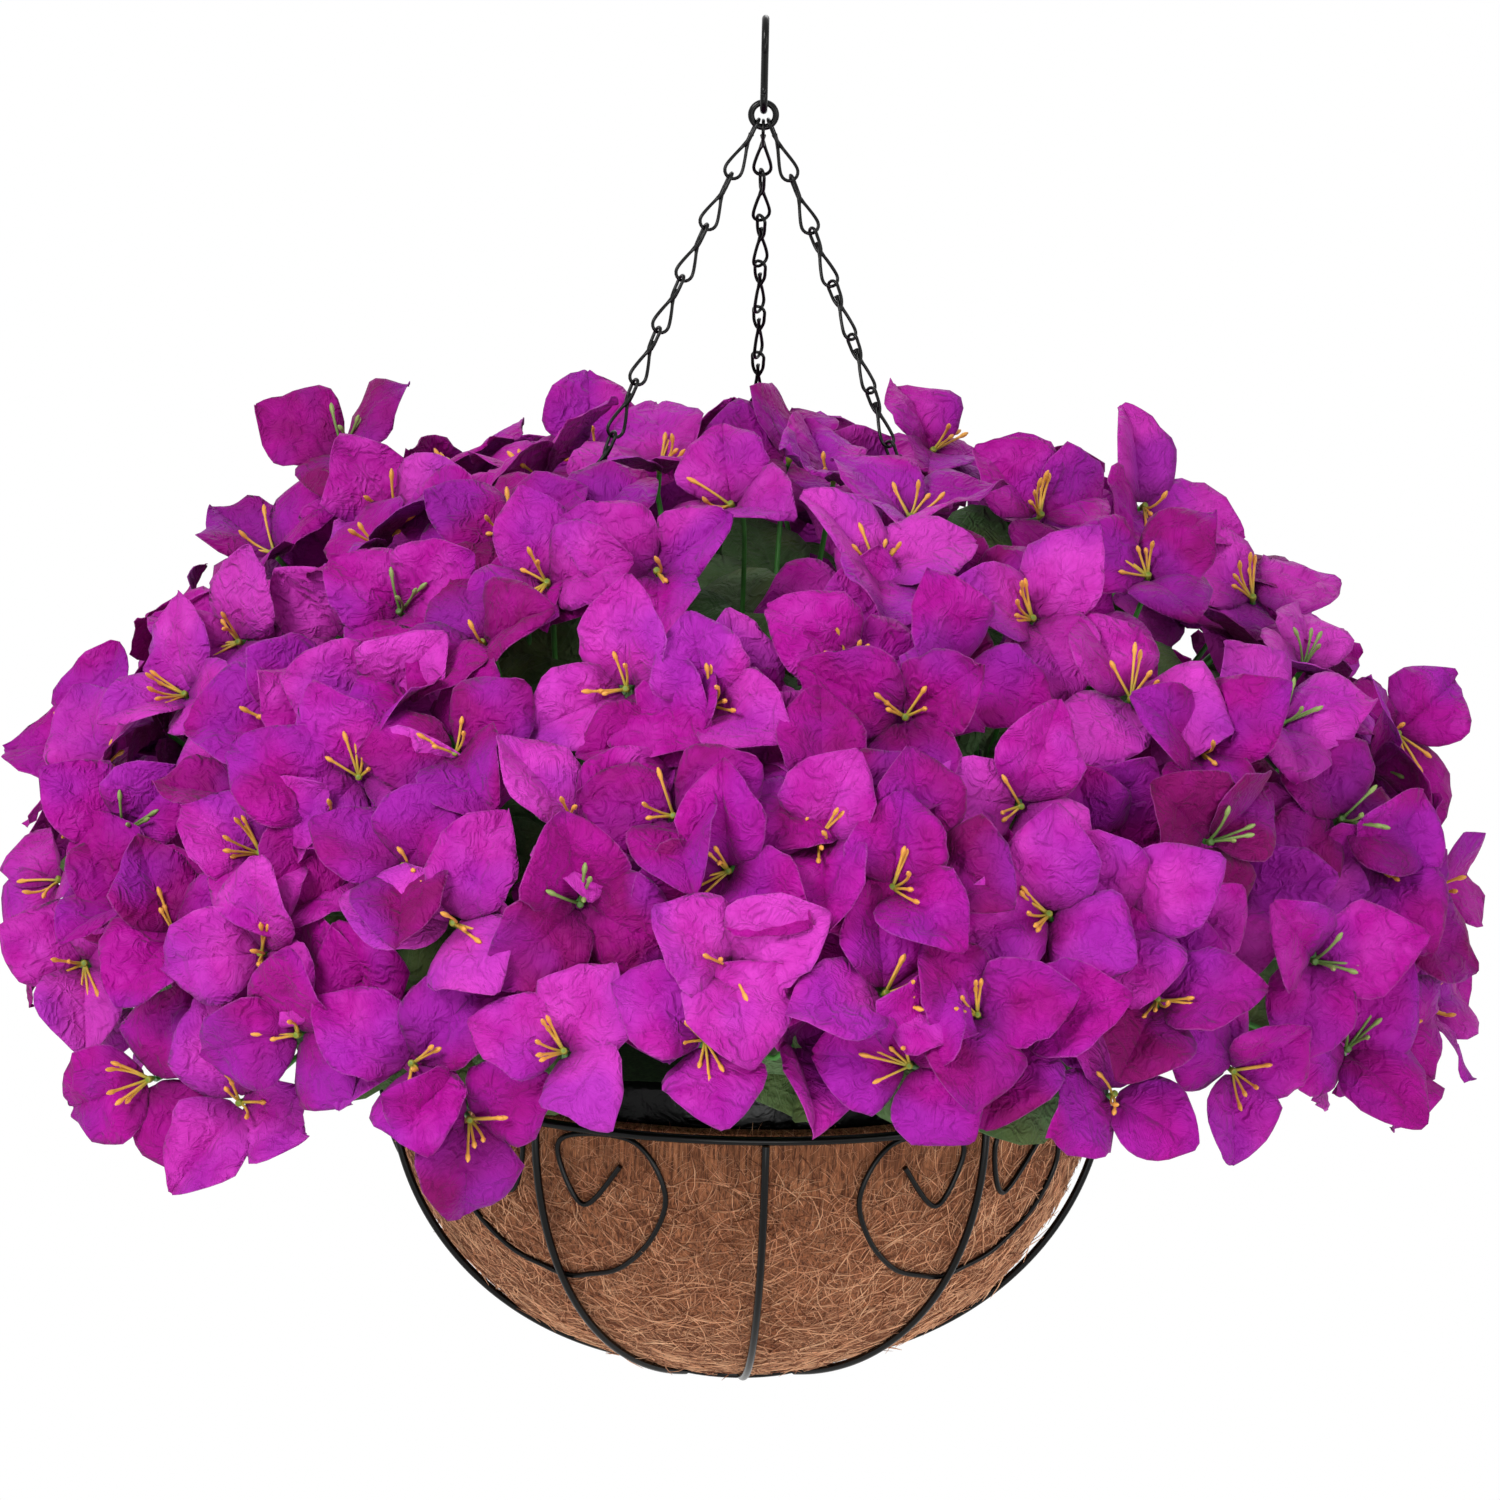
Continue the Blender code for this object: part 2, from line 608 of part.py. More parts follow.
def dome_share(point):
    """How far out a point lies in the dome: 1 on its surface."""
    height = point.z - RIM_Z - DOME_ABOVE_RIM
    rise = DOME_RISE if height > 0 else DOME_DROP
    return (point.x ** 2 + point.y ** 2) / DOME_RADIUS ** 2 + (height / rise) ** 2


def meet_dome(x_px, y_px):
    """Where the view of a pixel first meets the dome, or passes nearest to it."""
    line = view_line(x_px, y_px)
    return next((point for point in line if dome_share(point) <= 1), min(line, key=dome_share))


def spiral_spots():
    """Points on a spiral from the dome's top down to its skirt."""
    for k in range(FILL_STEPS):
        share = 1 + (FILL_LOWEST - 1) * (k + 0.5) / FILL_STEPS
        reach = DOME_RADIUS * math.sqrt(1 - share ** 2)
        height = share * (DOME_RISE if share > 0 else DOME_DROP)
        turn = k * GOLDEN_ANGLE
        yield Vector((reach * math.cos(turn), reach * math.sin(turn), RIM_Z + DOME_ABOVE_RIM + height))


def flower_places():
    """All flowers, each with its bush and its centre: those seen in the photo, then the filling."""
    places = [settle(meet_dome(x_px, y_px)) for x_px, y_px, _ in FLOWERS_PX]
    toward = view_axes()[2]
    for spot in spiral_spots():
        outward = (spot - Vector((0, 0, RIM_Z))).normalized()
        index, centre = settle(spot)
        unseen = outward.dot(toward) < FILL_FRONT
        if unseen and all((centre - other).length > FLOWER_SPACING for _, other in places):
            places.append((index, centre))
    return places


def sector_limits(index):
    """How far the two side walls of a sector stand off its bounding planes."""
    chain_turns = [math.radians(chain[1]) - FIRST_SECTOR for chain in CHAINS]
    chain_sectors = [round(turn / SECTOR) % BUSH_COUNT for turn in chain_turns]
    right = SLOT_HALF_WIDTH if index in chain_sectors else BUSH_CLEARANCE / 2
    left = SLOT_HALF_WIDTH if (index + 1) % BUSH_COUNT in chain_sectors else BUSH_CLEARANCE / 2
    return right, left


def crown_walls():
    """Plan directions of the crown's upright walls, and how far each stands from the axis."""
    walls = [(sector_middle(k), CROWN_APOTHEM) for k in range(BUSH_COUNT)]
    return walls + [(math.radians(chain[1]), CROWN_CORNER) for chain in CHAINS]


def settle(place):
    """The bush a flower belongs to, and its centre moved just inside that bush's own space."""
    reach = math.hypot(place.x, place.y)
    inside = 3 * STALK_RADIUS
    azimuth = math.atan2(place.y, place.x)
    index = int(((azimuth - FIRST_SECTOR) % math.tau) / SECTOR)
    middle = sector_middle(index)
    offset = (azimuth - middle + math.pi) % math.tau - math.pi
    if reach * math.cos(offset) < CROWN_APOTHEM:
        slants = [(math.cos(azimuth - wall), stand_off) for wall, stand_off in crown_walls()]
        limit = min((stand_off - inside) / slant for slant, stand_off in slants if slant > MERGE)
        share = min(1.0, limit / max(reach, MM))
        return BUSH_COUNT, Vector((place.x * share, place.y * share, place.z))
    right, left = sector_limits(index)
    low = -SECTOR / 2 + math.asin((right + inside) / reach)
    high = SECTOR / 2 - math.asin((left + inside) / reach)
    offset = min(max(offset, low), high)
    reach = max(reach, (CROWN_APOTHEM + inside) / math.cos(offset))
    turn = middle + offset
    return index, Vector((reach * math.cos(turn), reach * math.sin(turn), place.z))


def convex_space(name, planes):
    """A convex block: a large cube cut by planes, each a point and the direction that is cut off."""
    bm = bmesh.new()
    bmesh.ops.create_cube(bm, size=REGION_REACH)
    bmesh.ops.translate(bm, verts=bm.verts, vec=(0, 0, RIM_Z))
    for point, direction in planes:
        everything = bm.verts[:] + bm.edges[:] + bm.faces[:]
        cut = bmesh.ops.bisect_plane(bm, geom=everything, plane_co=point, plane_no=direction, clear_outer=True)
        rim = [e for e in cut["geom_cut"] if isinstance(e, bmesh.types.BMEdge)]
        bmesh.ops.holes_fill(bm, edges=rim)
    return mesh_from(name, bm)


def bush_space(index):
    """The space that one bush may fill: a sector between chains, or the crown round the axis."""
    planes = []
    if index < BUSH_COUNT:
        right, left = sector_limits(index)
        middle = sector_middle(index)
        for angle, sign, stand_off in ((middle - SECTOR / 2, 1, right), (middle + SECTOR / 2, -1, left)):
            inward = Vector((-math.sin(angle), math.cos(angle), 0)) * sign
            planes.append((inward * stand_off, -inward))
        ahead = Vector((math.cos(middle), math.sin(middle), 0))
        planes.append((ahead * (CROWN_APOTHEM + BUSH_CLEARANCE), -ahead))
        return convex_space(f"space_{index}", planes)
    for wall, stand_off in crown_walls():
        ahead = Vector((math.cos(wall), math.sin(wall), 0))
        planes.append((ahead * stand_off, ahead))
    return convex_space("space_crown", planes)


def bush_flowers():
    """The flowers of each bush, from the highest down: the centre, and a turn whose Z faces outward
    and whose X leads to a bract."""
    right, up, toward = view_axes()
    bushes = [[] for _ in range(BUSH_COUNT + 1)]
    for number, (index, base) in enumerate(flower_places()):
        outward = (base - Vector((0, 0, RIM_Z))).normalized()
        if number < len(FLOWERS_PX):
            clock = math.radians(FLOWERS_PX[number][2])
            lead = right * math.sin(clock) + up * math.cos(clock)
            outward = (outward + toward * FACE_VIEW + Vector((0, 0, FACE_UP))).normalized()
        else:
            roll = number * GOLDEN_ANGLE
            outward.rotate(Quaternion(outward.orthogonal(), math.radians(FLOWER_TILT) * math.sin(3 * roll)))
            lead = Quaternion(outward, roll) @ outward.orthogonal()
        lead = (lead - outward * lead.dot(outward)).normalized()
        turn = Matrix((lead, outward.cross(lead), outward)).transposed()
        bushes[index].append((base, turn))
    return [sorted(flowers, key=lambda flower: -flower[0].z) for flowers in bushes]


def make_bush(name, foot, flowers, space, fabric, carrier):
    """One bush: a stem in the foam, and stalks with flowers, in one body."""
    stem = bmesh.new()
    low = foot + Vector((0, 0, FOAM_TOP_Z - STEM_DEPTH + SEAT_GAP))
    add_tube(stem, [low, foot + Vector((0, 0, STEM_TOP_Z))], STEM_RADIUS, 8)
    shells = [mesh_from(name + "_stem", stem)]
    spacing = (STEM_ABOVE_FILM - STEM_RADIUS - 2 * STALK_RADIUS) / len(flowers)
    for rank, (base, turn) in enumerate(flowers):
        outward = turn.col[2]
        root = foot + Vector((0, 0, STEM_TOP_Z - STEM_RADIUS - spacing * rank))
        middle = root.lerp(base, 0.5)
        path = [base, root]
        if middle.z < STALK_CLEAR_Z:
            path.insert(1, Vector((middle.x, middle.y, STALK_CLEAR_Z)))
        if (base - path[1]).normalized().dot(outward) < STALK_STRAIGHT:
            path.insert(1, base - outward * STALK_TURN)
        flower = bmesh.new()
        add_flower(flower, turn, path)
        shells.append(mesh_from(f"{name}_flower_{rank}", flower))
    add_object(name, join_shells(name, shells, space), fabric, carrier)


def make_bushes(fabric, carrier):
    """The bushes of the sectors and the one of the crown."""
    for index, (foot, flowers) in enumerate(zip(stem_feet(), bush_flowers())):
        name = f"flower_bush_{index + 1}" if index < BUSH_COUNT else "flower_bush_crown"
        make_bush(name, foot, flowers, bush_space(index), fabric, carrier)


def main():
    start_empty()
    coat = finish("black_wire_coat", "#141414", 0.25)
    coir = finish("coir", "#9A6444", 0.95)
    plastic = finish("black_film", "#0C0C0D", 0.2)
    foam = finish("green_foam", "#3E5A34", 0.9)
    fabric = finish("magenta_fabric", "#B012B0", 0.7)
    make_hook(coat)
    ring_pivot = pivot("ring_pivot", RING_PIVOT_Z)
    make_ring(coat, ring_pivot)
    basket_pivot = pivot("basket_pivot", BASKET_PIVOT_Z)
    for side, azimuth, ring_angle, bulge in CHAINS:
        make_chain(side, azimuth, ring_angle, bulge, coat, basket_pivot)
    make_wire_bowl(coat, basket_pivot)
    make_filling(coir, plastic, foam, basket_pivot)
    make_bushes(fabric, basket_pivot)


main()
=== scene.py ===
# %% [markdown]
# # A hanging basket of artificial flowers
# A wire bowl hangs on three link chains from a small ring and an S-hook. A coir liner and a sheet of
# black film hold a block of floral foam, and bushes of magenta fabric flowers are pushed into it.
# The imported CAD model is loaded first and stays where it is. Each piece below is made where the
# CAD model has it, and stands for its plain solid.

import json
import math
import random

import bmesh
import bpy
from mathutils import Matrix, Quaternion, Vector, noise

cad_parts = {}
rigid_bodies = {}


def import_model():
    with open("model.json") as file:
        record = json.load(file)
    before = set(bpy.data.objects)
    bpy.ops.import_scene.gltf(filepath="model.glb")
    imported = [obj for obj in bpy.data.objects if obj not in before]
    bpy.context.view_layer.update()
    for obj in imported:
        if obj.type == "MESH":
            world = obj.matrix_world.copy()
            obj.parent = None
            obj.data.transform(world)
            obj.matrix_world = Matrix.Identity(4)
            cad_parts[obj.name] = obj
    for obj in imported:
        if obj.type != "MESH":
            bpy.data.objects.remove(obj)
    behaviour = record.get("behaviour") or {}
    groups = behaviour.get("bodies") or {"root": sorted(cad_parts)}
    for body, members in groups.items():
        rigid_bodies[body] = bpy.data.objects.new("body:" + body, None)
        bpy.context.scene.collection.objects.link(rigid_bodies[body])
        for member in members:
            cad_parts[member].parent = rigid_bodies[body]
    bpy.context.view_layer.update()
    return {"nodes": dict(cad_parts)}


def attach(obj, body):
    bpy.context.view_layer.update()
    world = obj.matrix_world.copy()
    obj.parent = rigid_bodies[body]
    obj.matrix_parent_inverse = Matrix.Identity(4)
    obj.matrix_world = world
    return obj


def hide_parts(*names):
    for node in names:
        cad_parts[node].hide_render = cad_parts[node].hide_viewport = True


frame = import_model()

# %% [markdown]
# ## Small tools
# Colours are written as sRGB hex values, as a designer picks them, and Blender mixes light in linear
# values, so one function turns them over. One more adds a node to any tree with its settings and
# links, which keeps the trees below readable: a node given as an input stands for its first output.
# Modifiers and Geometry Nodes trees run on an object, and the result is kept as a plain mesh, because
# the export takes no instances.

# %% Tools
MM = 0.001


def linear(hex_colour):
    """An sRGB hex colour as linear RGBA."""
    channels = [int(hex_colour[i:i + 2], 16) / 255 for i in (1, 3, 5)]
    return [c / 12.92 if c <= 0.04045 else ((c + 0.055) / 1.055) ** 2.4 for c in channels] + [1.0]


def fill_inputs(tree, node, inputs):
    """Fill a node's inputs with values or links; a node stands for its first output in use."""
    for key, value in inputs.items():
        if isinstance(value, bpy.types.Node):
            value = next(socket for socket in value.outputs if socket.enabled)
        if isinstance(value, bpy.types.NodeSocket):
            tree.links.new(value, node.inputs[key])
        else:
            node.inputs[key].default_value = value


def add_node(tree, kind, inputs=None, **settings):
    """Add a node to a tree, set its properties and fill its inputs."""
    node = tree.nodes.new(kind)
    for key, value in settings.items():
        setattr(node, key, value)
    fill_inputs(tree, node, inputs or {})
    return node


def keep_result(item):
    """Replace an object's mesh by what its modifiers make of it, and remove them."""
    depsgraph = bpy.context.evaluated_depsgraph_get()
    made = item.evaluated_get(depsgraph)
    mesh = bpy.data.meshes.new_from_object(made, preserve_all_data_layers=True, depsgraph=depsgraph)
    item.modifiers.clear()
    item.data = mesh
    mesh.name = item.name
    return item


def new_tree(name, sockets):
    """A Geometry Nodes tree with a geometry in and out, and named inputs for its sizes."""
    tree = bpy.data.node_groups.new(name, "GeometryNodeTree")
    tree.interface.new_socket("Geometry", in_out="INPUT", socket_type="NodeSocketGeometry")
    for label, kind in sockets.items():
        tree.interface.new_socket(label, in_out="INPUT", socket_type="NodeSocket" + kind)
    tree.interface.new_socket("Geometry", in_out="OUTPUT", socket_type="NodeSocketGeometry")
    return tree, add_node(tree, "NodeGroupInput").outputs


def grow(item, tree, values):
    """Run a Geometry Nodes tree on an object and keep the mesh."""
    modifier = item.modifiers.new(tree.name, "NODES")
    modifier.node_group = tree
    for socket in tree.interface.items_tree:
        if socket.in_out == "INPUT" and socket.name in values:
            modifier[socket.identifier] = values[socket.name]
    return keep_result(item)


def add_piece(name, mesh):
    """An object at the origin for a mesh."""
    item = bpy.data.objects.new(name, mesh)
    bpy.context.scene.collection.objects.link(item)
    return item


def triangles(item):
    """How many triangles an object has."""
    return sum(len(face.vertices) - 2 for face in item.data.polygons)


# %% [markdown]
# ## Main sizes
# The sizes are those of the CAD model, in millimetres. The origin is where the hook hangs, so every
# height follows from the hook down: the ring in the hook's lower bend, and the rim below the chains.

# %% Main sizes
SEAT_GAP = 0.3 * MM
HOOK_WIRE = 3.0 * MM
HOOK_MOUTH = 14.0 * MM
HOOK_EYE = 10.0 * MM
HOOK_LENGTH = 39.5 * MM
RING_WIRE = 2.6 * MM
RING_OUTSIDE = 12.4 * MM
CHAIN_DROP = 375.0 * MM
RIM_OUTSIDE = 305.0 * MM
RIM_WIRE = 3.6 * MM
HOOK_EYE_SEAT = HOOK_WIRE - HOOK_LENGTH + HOOK_WIRE
RING_RADIUS = (RING_OUTSIDE - RING_WIRE) / 2
RING_CENTRE_Z = HOOK_EYE_SEAT + SEAT_GAP - (RING_RADIUS - RING_WIRE / 2)
RIM_Z = RING_CENTRE_Z - RING_RADIUS - CHAIN_DROP
RIM_RADIUS = (RIM_OUTSIDE - RIM_WIRE) / 2
RIM_CENTRE = Vector((0, 0, RIM_Z))
print("rim at", RIM_Z)

# %% [markdown]
# ## Camera
# The photograph is taken with a long lens from a little above. The rim's ellipse, the bend of the
# ribs across the bowl and the ring's height agree on a view from 12.5 degrees up. The basket hangs a
# little out of upright in the picture, so the camera leans by that much. The rim's width in pixels
# gives the scale, and with it the lens and the point the camera looks at.

# %% Camera
PHOTO_WIDTH_PX = 1500
PHOTO_MIDDLE_PX = (750, 750)
RIM_CENTRE_PX = (742.5, 1044)
RIM_WIDTH_PX = 752
VIEW_TILT = math.radians(12.5)
VIEW_LEAN = math.radians(1.3)
VIEW_DISTANCE = 3500.0 * MM
VIEW_SCALE = RIM_OUTSIDE / RIM_WIDTH_PX
SENSOR_WIDTH = 36.0

upright = Vector((0, math.sin(VIEW_TILT), math.cos(VIEW_TILT)))
toward_camera = Vector((0, -math.cos(VIEW_TILT), math.sin(VIEW_TILT)))
view_right = Vector((1, 0, 0)) * math.cos(VIEW_LEAN) + upright * math.sin(VIEW_LEAN)
view_up = upright * math.cos(VIEW_LEAN) - Vector((1, 0, 0)) * math.sin(VIEW_LEAN)


def on_picture(x_px, y_px):
    """The point of a pixel on the plane through the rim's middle that faces the camera."""
    across = (x_px - RIM_CENTRE_PX[0]) * VIEW_SCALE
    above = (RIM_CENTRE_PX[1] - y_px) * VIEW_SCALE
    return RIM_CENTRE + view_right * across + view_up * above


camera_data = bpy.data.cameras.new("camera")
camera_data.sensor_width = SENSOR_WIDTH
camera_data.lens = SENSOR_WIDTH * VIEW_DISTANCE / (PHOTO_WIDTH_PX * VIEW_SCALE)
camera = bpy.data.objects.new("camera", camera_data)
bpy.context.scene.collection.objects.link(camera)
camera.location = on_picture(*PHOTO_MIDDLE_PX) + toward_camera * VIEW_DISTANCE
camera.rotation_euler = Matrix((view_right, view_up, toward_camera)).transposed().to_euler()
bpy.context.scene.camera = camera
bpy.context.scene.view_settings.view_transform = "Standard"
print("camera at", tuple(camera.location), "lens", camera_data.lens)

# %% [markdown]
# ## Studio
# The picture has a plain white ground and soft light from all round, stronger from above and from
# the upper left. A world that is brighter above gives the soft part, and large area lamps give the
# direction: a key lamp at the upper left, a fill, a low one for the bowl, and one from behind.
# Camera rays see pure white behind the basket. The floor is far below, as under a basket that hangs,
# and takes its shadow; it fades to white away from the basket.

# %% Studio
FLOOR_Z = -1.2
FLOOR_SIZE = 30.0
FLOOR_NEAR = 0.6
FLOOR_FAR = 1.6
AMBIENT_ABOVE = 0.5
AMBIENT_BELOW = 0.32
LAMP_AIM = Vector((0, 0, -0.3))
# Each lamp has a name, a place, the side of its square in metres and its power in watts.
LAMPS = (
    ("key", Vector((-1.2, -1.5, 1.0)), 0.8, 33.0),
    ("fill", Vector((1.5, -1.3, 0.1)), 1.0, 9.0),
    ("front", Vector((0.1, -2.2, -1.0)), 1.0, 15.0),
    ("back", Vector((0.3, 1.8, 0.9)), 1.0, 8.0),
)


def white_rays(tree):
    """Whether a ray comes from the camera, straight or by way of a mirror or a clear piece."""
    path = add_node(tree, "ShaderNodeLightPath")
    mirror_rays = add_node(tree, "ShaderNodeMath", {
        0: path.outputs["Is Glossy Ray"], 1: path.outputs["Is Transmission Ray"]}, operation="MAXIMUM")
    return add_node(tree, "ShaderNodeMath", {
        0: path.outputs["Is Camera Ray"], 1: mirror_rays}, operation="MAXIMUM")


world = bpy.data.worlds.new("studio")
bpy.context.scene.world = world
world.use_nodes = True
tree = world.node_tree
tree.nodes.clear()
looked = add_node(tree, "ShaderNodeTexCoord")
height = add_node(tree, "ShaderNodeSeparateXYZ", {"Vector": looked.outputs["Generated"]})
soft = add_node(tree, "ShaderNodeMapRange", {
    "Value": height.outputs["Z"], "From Min": -1.0, "From Max": 1.0,
    "To Min": AMBIENT_BELOW, "To Max": AMBIENT_ABOVE})
level = add_node(tree, "ShaderNodeMix", {0: white_rays(tree), 2: soft, 3: 1.0}, data_type="FLOAT")
sky = add_node(tree, "ShaderNodeBackground", {"Color": (1, 1, 1, 1), "Strength": level})
add_node(tree, "ShaderNodeOutputWorld", {"Surface": sky})

for name, place, size, energy in LAMPS:
    lamp = bpy.data.lights.new(name, "AREA")
    lamp.size = size
    lamp.energy = energy
    lamp_object = bpy.data.objects.new(name, lamp)
    bpy.context.scene.collection.objects.link(lamp_object)
    lamp_object.location = place
    lamp_object.rotation_euler = (LAMP_AIM - place).to_track_quat("-Z", "Y").to_euler()
print(len(LAMPS), "lamps")

# %% Floor
floor_paint = bpy.data.materials.new("pale_floor_paint")
floor_paint.use_nodes = True
tree = floor_paint.node_tree
tree.nodes.clear()
spot = add_node(tree, "ShaderNodeTexCoord")
distance = add_node(tree, "ShaderNodeVectorMath", {0: spot.outputs["Object"]}, operation="LENGTH")
far = add_node(tree, "ShaderNodeMapRange", {
    "Value": distance.outputs["Value"], "From Min": FLOOR_NEAR, "From Max": FLOOR_FAR})
white_share = add_node(tree, "ShaderNodeMath", {0: far, 1: white_rays(tree)}, operation="MULTIPLY")
paint = add_node(tree, "ShaderNodeBsdfDiffuse", {"Color": linear("#F0EFED")})
glow = add_node(tree, "ShaderNodeEmission", {"Color": (1, 1, 1, 1), "Strength": 1.0})
mixed = add_node(tree, "ShaderNodeMixShader", {0: white_share, 1: paint, 2: glow})
add_node(tree, "ShaderNodeOutputMaterial", {"Surface": mixed})


def finished_mesh(bm, name, rounded=False):
    """The plain mesh of a bmesh; a rounded one has its faces turned outward and shaded smooth."""
    if rounded:
        bmesh.ops.recalc_face_normals(bm, faces=bm.faces)
        for face in bm.faces:
            face.smooth = True
    mesh = bpy.data.meshes.new(name)
    bm.to_mesh(mesh)
    bm.free()
    return mesh


bm = bmesh.new()
bmesh.ops.create_grid(bm, x_segments=8, y_segments=8, size=FLOOR_SIZE / 2)
floor = add_piece("floor", finished_mesh(bm, "floor"))
floor.location.z = FLOOR_Z
floor.data.materials.append(floor_paint)
print("floor at", FLOOR_Z)

# %% [markdown]
# ## Finish: gloss powder coat on steel wire
# The wire is mild steel with a black polyester powder coat, baked on. It is smooth and glossy, with
# the faint orange peel of a melted powder, so highlights are bright lines with slightly soft edges.

# %% Powder coat
ORANGE_PEEL = 1.2 * MM
DUST_PATCH = 14.0 * MM


def new_material(name):
    """A material, its tree, and the one Principled shader in it."""
    material = bpy.data.materials.new(name)
    material.use_nodes = True
    return material, material.node_tree, material.node_tree.nodes["Principled BSDF"]


powder_coat, tree, shader = new_material("black_powder_coat")
coords = add_node(tree, "ShaderNodeTexCoord")
dust = add_node(tree, "ShaderNodeTexNoise", {
    "Vector": coords.outputs["Object"], "Scale": 1 / DUST_PATCH, "Detail": 3.0})
black = add_node(tree, "ShaderNodeMix", {
    0: dust, 6: linear("#030303"), 7: linear("#090909")}, data_type="RGBA")
peel = add_node(tree, "ShaderNodeTexNoise", {
    "Vector": coords.outputs["Object"], "Scale": 1 / ORANGE_PEEL, "Detail": 1.0})
bump = add_node(tree, "ShaderNodeBump", {"Height": peel, "Strength": 0.15, "Distance": 0.1 * MM})
fill_inputs(tree, shader, {
    "Base Color": black, "Roughness": 0.24, "Specular IOR Level": 0.2, "Normal": bump})

# %% [markdown]
# ## Bent wire
# Every wire of the basket is one round section along a bent path. A Geometry Nodes tree turns a
# line of points into a smooth curve through them and sweeps a circle along it. The wire's diameter
# is an input, so the same tree serves the hook, the ring, the links, the ribs and the scrolls.

# %% Bent wire tree
bent_wire, given = new_tree("bent_wire", {
    "Wire diameter": "Float", "Point spacing": "Float", "Sides": "Int", "Coat": "Material"})
line = add_node(bent_wire, "GeometryNodeMeshToCurve", {"Mesh": given["Geometry"]})
smooth = add_node(bent_wire, "GeometryNodeCurveSplineType", {
    "Curve": line}, spline_type="CATMULL_ROM")
steps = add_node(bent_wire, "GeometryNodeResampleCurve", {
    "Curve": smooth, "Length": given["Point spacing"]}, mode="LENGTH")
half = add_node(bent_wire, "ShaderNodeMath", {0: given["Wire diameter"], 1: 0.5}, operation="MULTIPLY")
section = add_node(bent_wire, "GeometryNodeCurvePrimitiveCircle", {
    "Resolution": given["Sides"], "Radius": half})
swept = add_node(bent_wire, "GeometryNodeCurveToMesh", {
    "Curve": steps, "Profile Curve": section, "Fill Caps": True})
rounded = add_node(bent_wire, "GeometryNodeSetShadeSmooth", {"Geometry": swept})
real = add_node(bent_wire, "GeometryNodeRealizeInstances", {"Geometry": rounded})
coated = add_node(bent_wire, "GeometryNodeSetMaterial", {
    "Geometry": real, "Material": given["Coat"]})
add_node(bent_wire, "NodeGroupOutput", {"Geometry": coated})


def line_mesh(name, lines, closed=False):
    """A mesh of bare edges along each list of points."""
    verts = []
    edges = []
    for points in lines:
        first = len(verts)
        verts += [tuple(point) for point in points]
        edges += [(i, i + 1) for i in range(first, len(verts) - 1)]
        if closed:
            edges.append((len(verts) - 1, first))
    mesh = bpy.data.meshes.new(name)
    mesh.from_pydata(verts, edges, [])
    return mesh


def take_over(item, body, nodes):
    """Let a finished piece ride on a body and stand for CAD nodes, which it hides."""
    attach(item, body)
    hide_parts(*nodes)
    print(item.name, triangles(item), "triangles")


def wire_piece(name, lines, diameter, body, nodes, closed=False, spacing=1.2 * MM, sides=12):
    """A piece of one or several bent wires, which stands for CAD nodes of a body."""
    item = grow(add_piece(name, line_mesh(name, lines, closed)), bent_wire, {
        "Wire diameter": diameter, "Point spacing": spacing, "Sides": sides, "Coat": powder_coat})
    take_over(item, body, nodes)


# %% [markdown]
# ## S-hook and gather ring
# The photograph is cut off across the ring, so the hook above it is a plain S-hook of a usual size.
# It is bent in the plane from front to back, and the ring hangs across it.

# %% Hook and ring
HOOK_TOP_TURN = (205, -28)
HOOK_EYE_TURN = (152, 385)
BEND_STEPS = 24
RING_STEPS = 32


def arc(centre, radius, start, end, steps):
    """Points on a circle in a plane of two coordinates, angles in degrees."""
    angles = [math.radians(start + (end - start) * i / steps) for i in range(steps + 1)]
    return [(centre[0] + radius * math.cos(a), centre[1] + radius * math.sin(a)) for a in angles]


top_bend = arc((0, -HOOK_MOUTH / 2), (HOOK_MOUTH + HOOK_WIRE) / 2, *HOOK_TOP_TURN, BEND_STEPS)
eye_middle = (0, HOOK_EYE_SEAT + HOOK_EYE / 2)
eye_bend = arc(eye_middle, (HOOK_EYE + HOOK_WIRE) / 2, *HOOK_EYE_TURN, BEND_STEPS)
hook_line = [(0, y, z) for y, z in top_bend + eye_bend]
wire_piece("hook", [hook_line], HOOK_WIRE, "hook", ["s_hook"], spacing=0.8 * MM, sides=16)
ring_line = [(x, 0, z) for x, z in arc((0, RING_CENTRE_Z), RING_RADIUS, 0, 360, RING_STEPS)[:-1]]
wire_piece("ring", [ring_line], RING_WIRE, "ring", ["gather_ring"], True, 0.7 * MM, 16)

# %% [markdown]
# ## Chains
# Each link is one wire bent to a figure of eight, with its two loops a quarter turn apart and the
# wire's two free ends crossing at the neck. One link is made once, and a tree sets a copy at each
# point of the chain's line with its own turn, as they hang in each other.

# %% Chain sizes
RING_LINK_ANGLE = 36.0
# Each chain has a name, the azimuth of its end on the rim, its place on the ring, how far the flowers
# push it outward, and how far its links turn about its line. Angles are in degrees.
CHAINS = (
    ("left", 210.0, -RING_LINK_ANGLE, 34.0 * MM, 10.0),
    ("right", 330.0, RING_LINK_ANGLE, 22.0 * MM, 58.0),
    ("back", 90.0, 0.0, 28.0 * MM, 48.0),
)
LINK_WIRE = 1.4 * MM
LINK_PITCH = 23.0 * MM
LINK_LOOP = 2.4 * MM
LINK_TEARDROP = 3.2 * MM
LINK_NECK = 1.1 * MM
LINK_NECK_TOP = 10.0 * MM
LINK_NECK_LENGTH = 2.6 * MM
LINK_END = 4.0 * MM
LINK_STRAIGHT = 1.6
LINK_BELLY = 0.9
LINK_BELLY_TOP = 0.72
RING_LOOP_WIDER = 1.2
CHAIN_SAMPLES = 400
TWIST_LINKS = 3
LOOSE_LINKS = 8


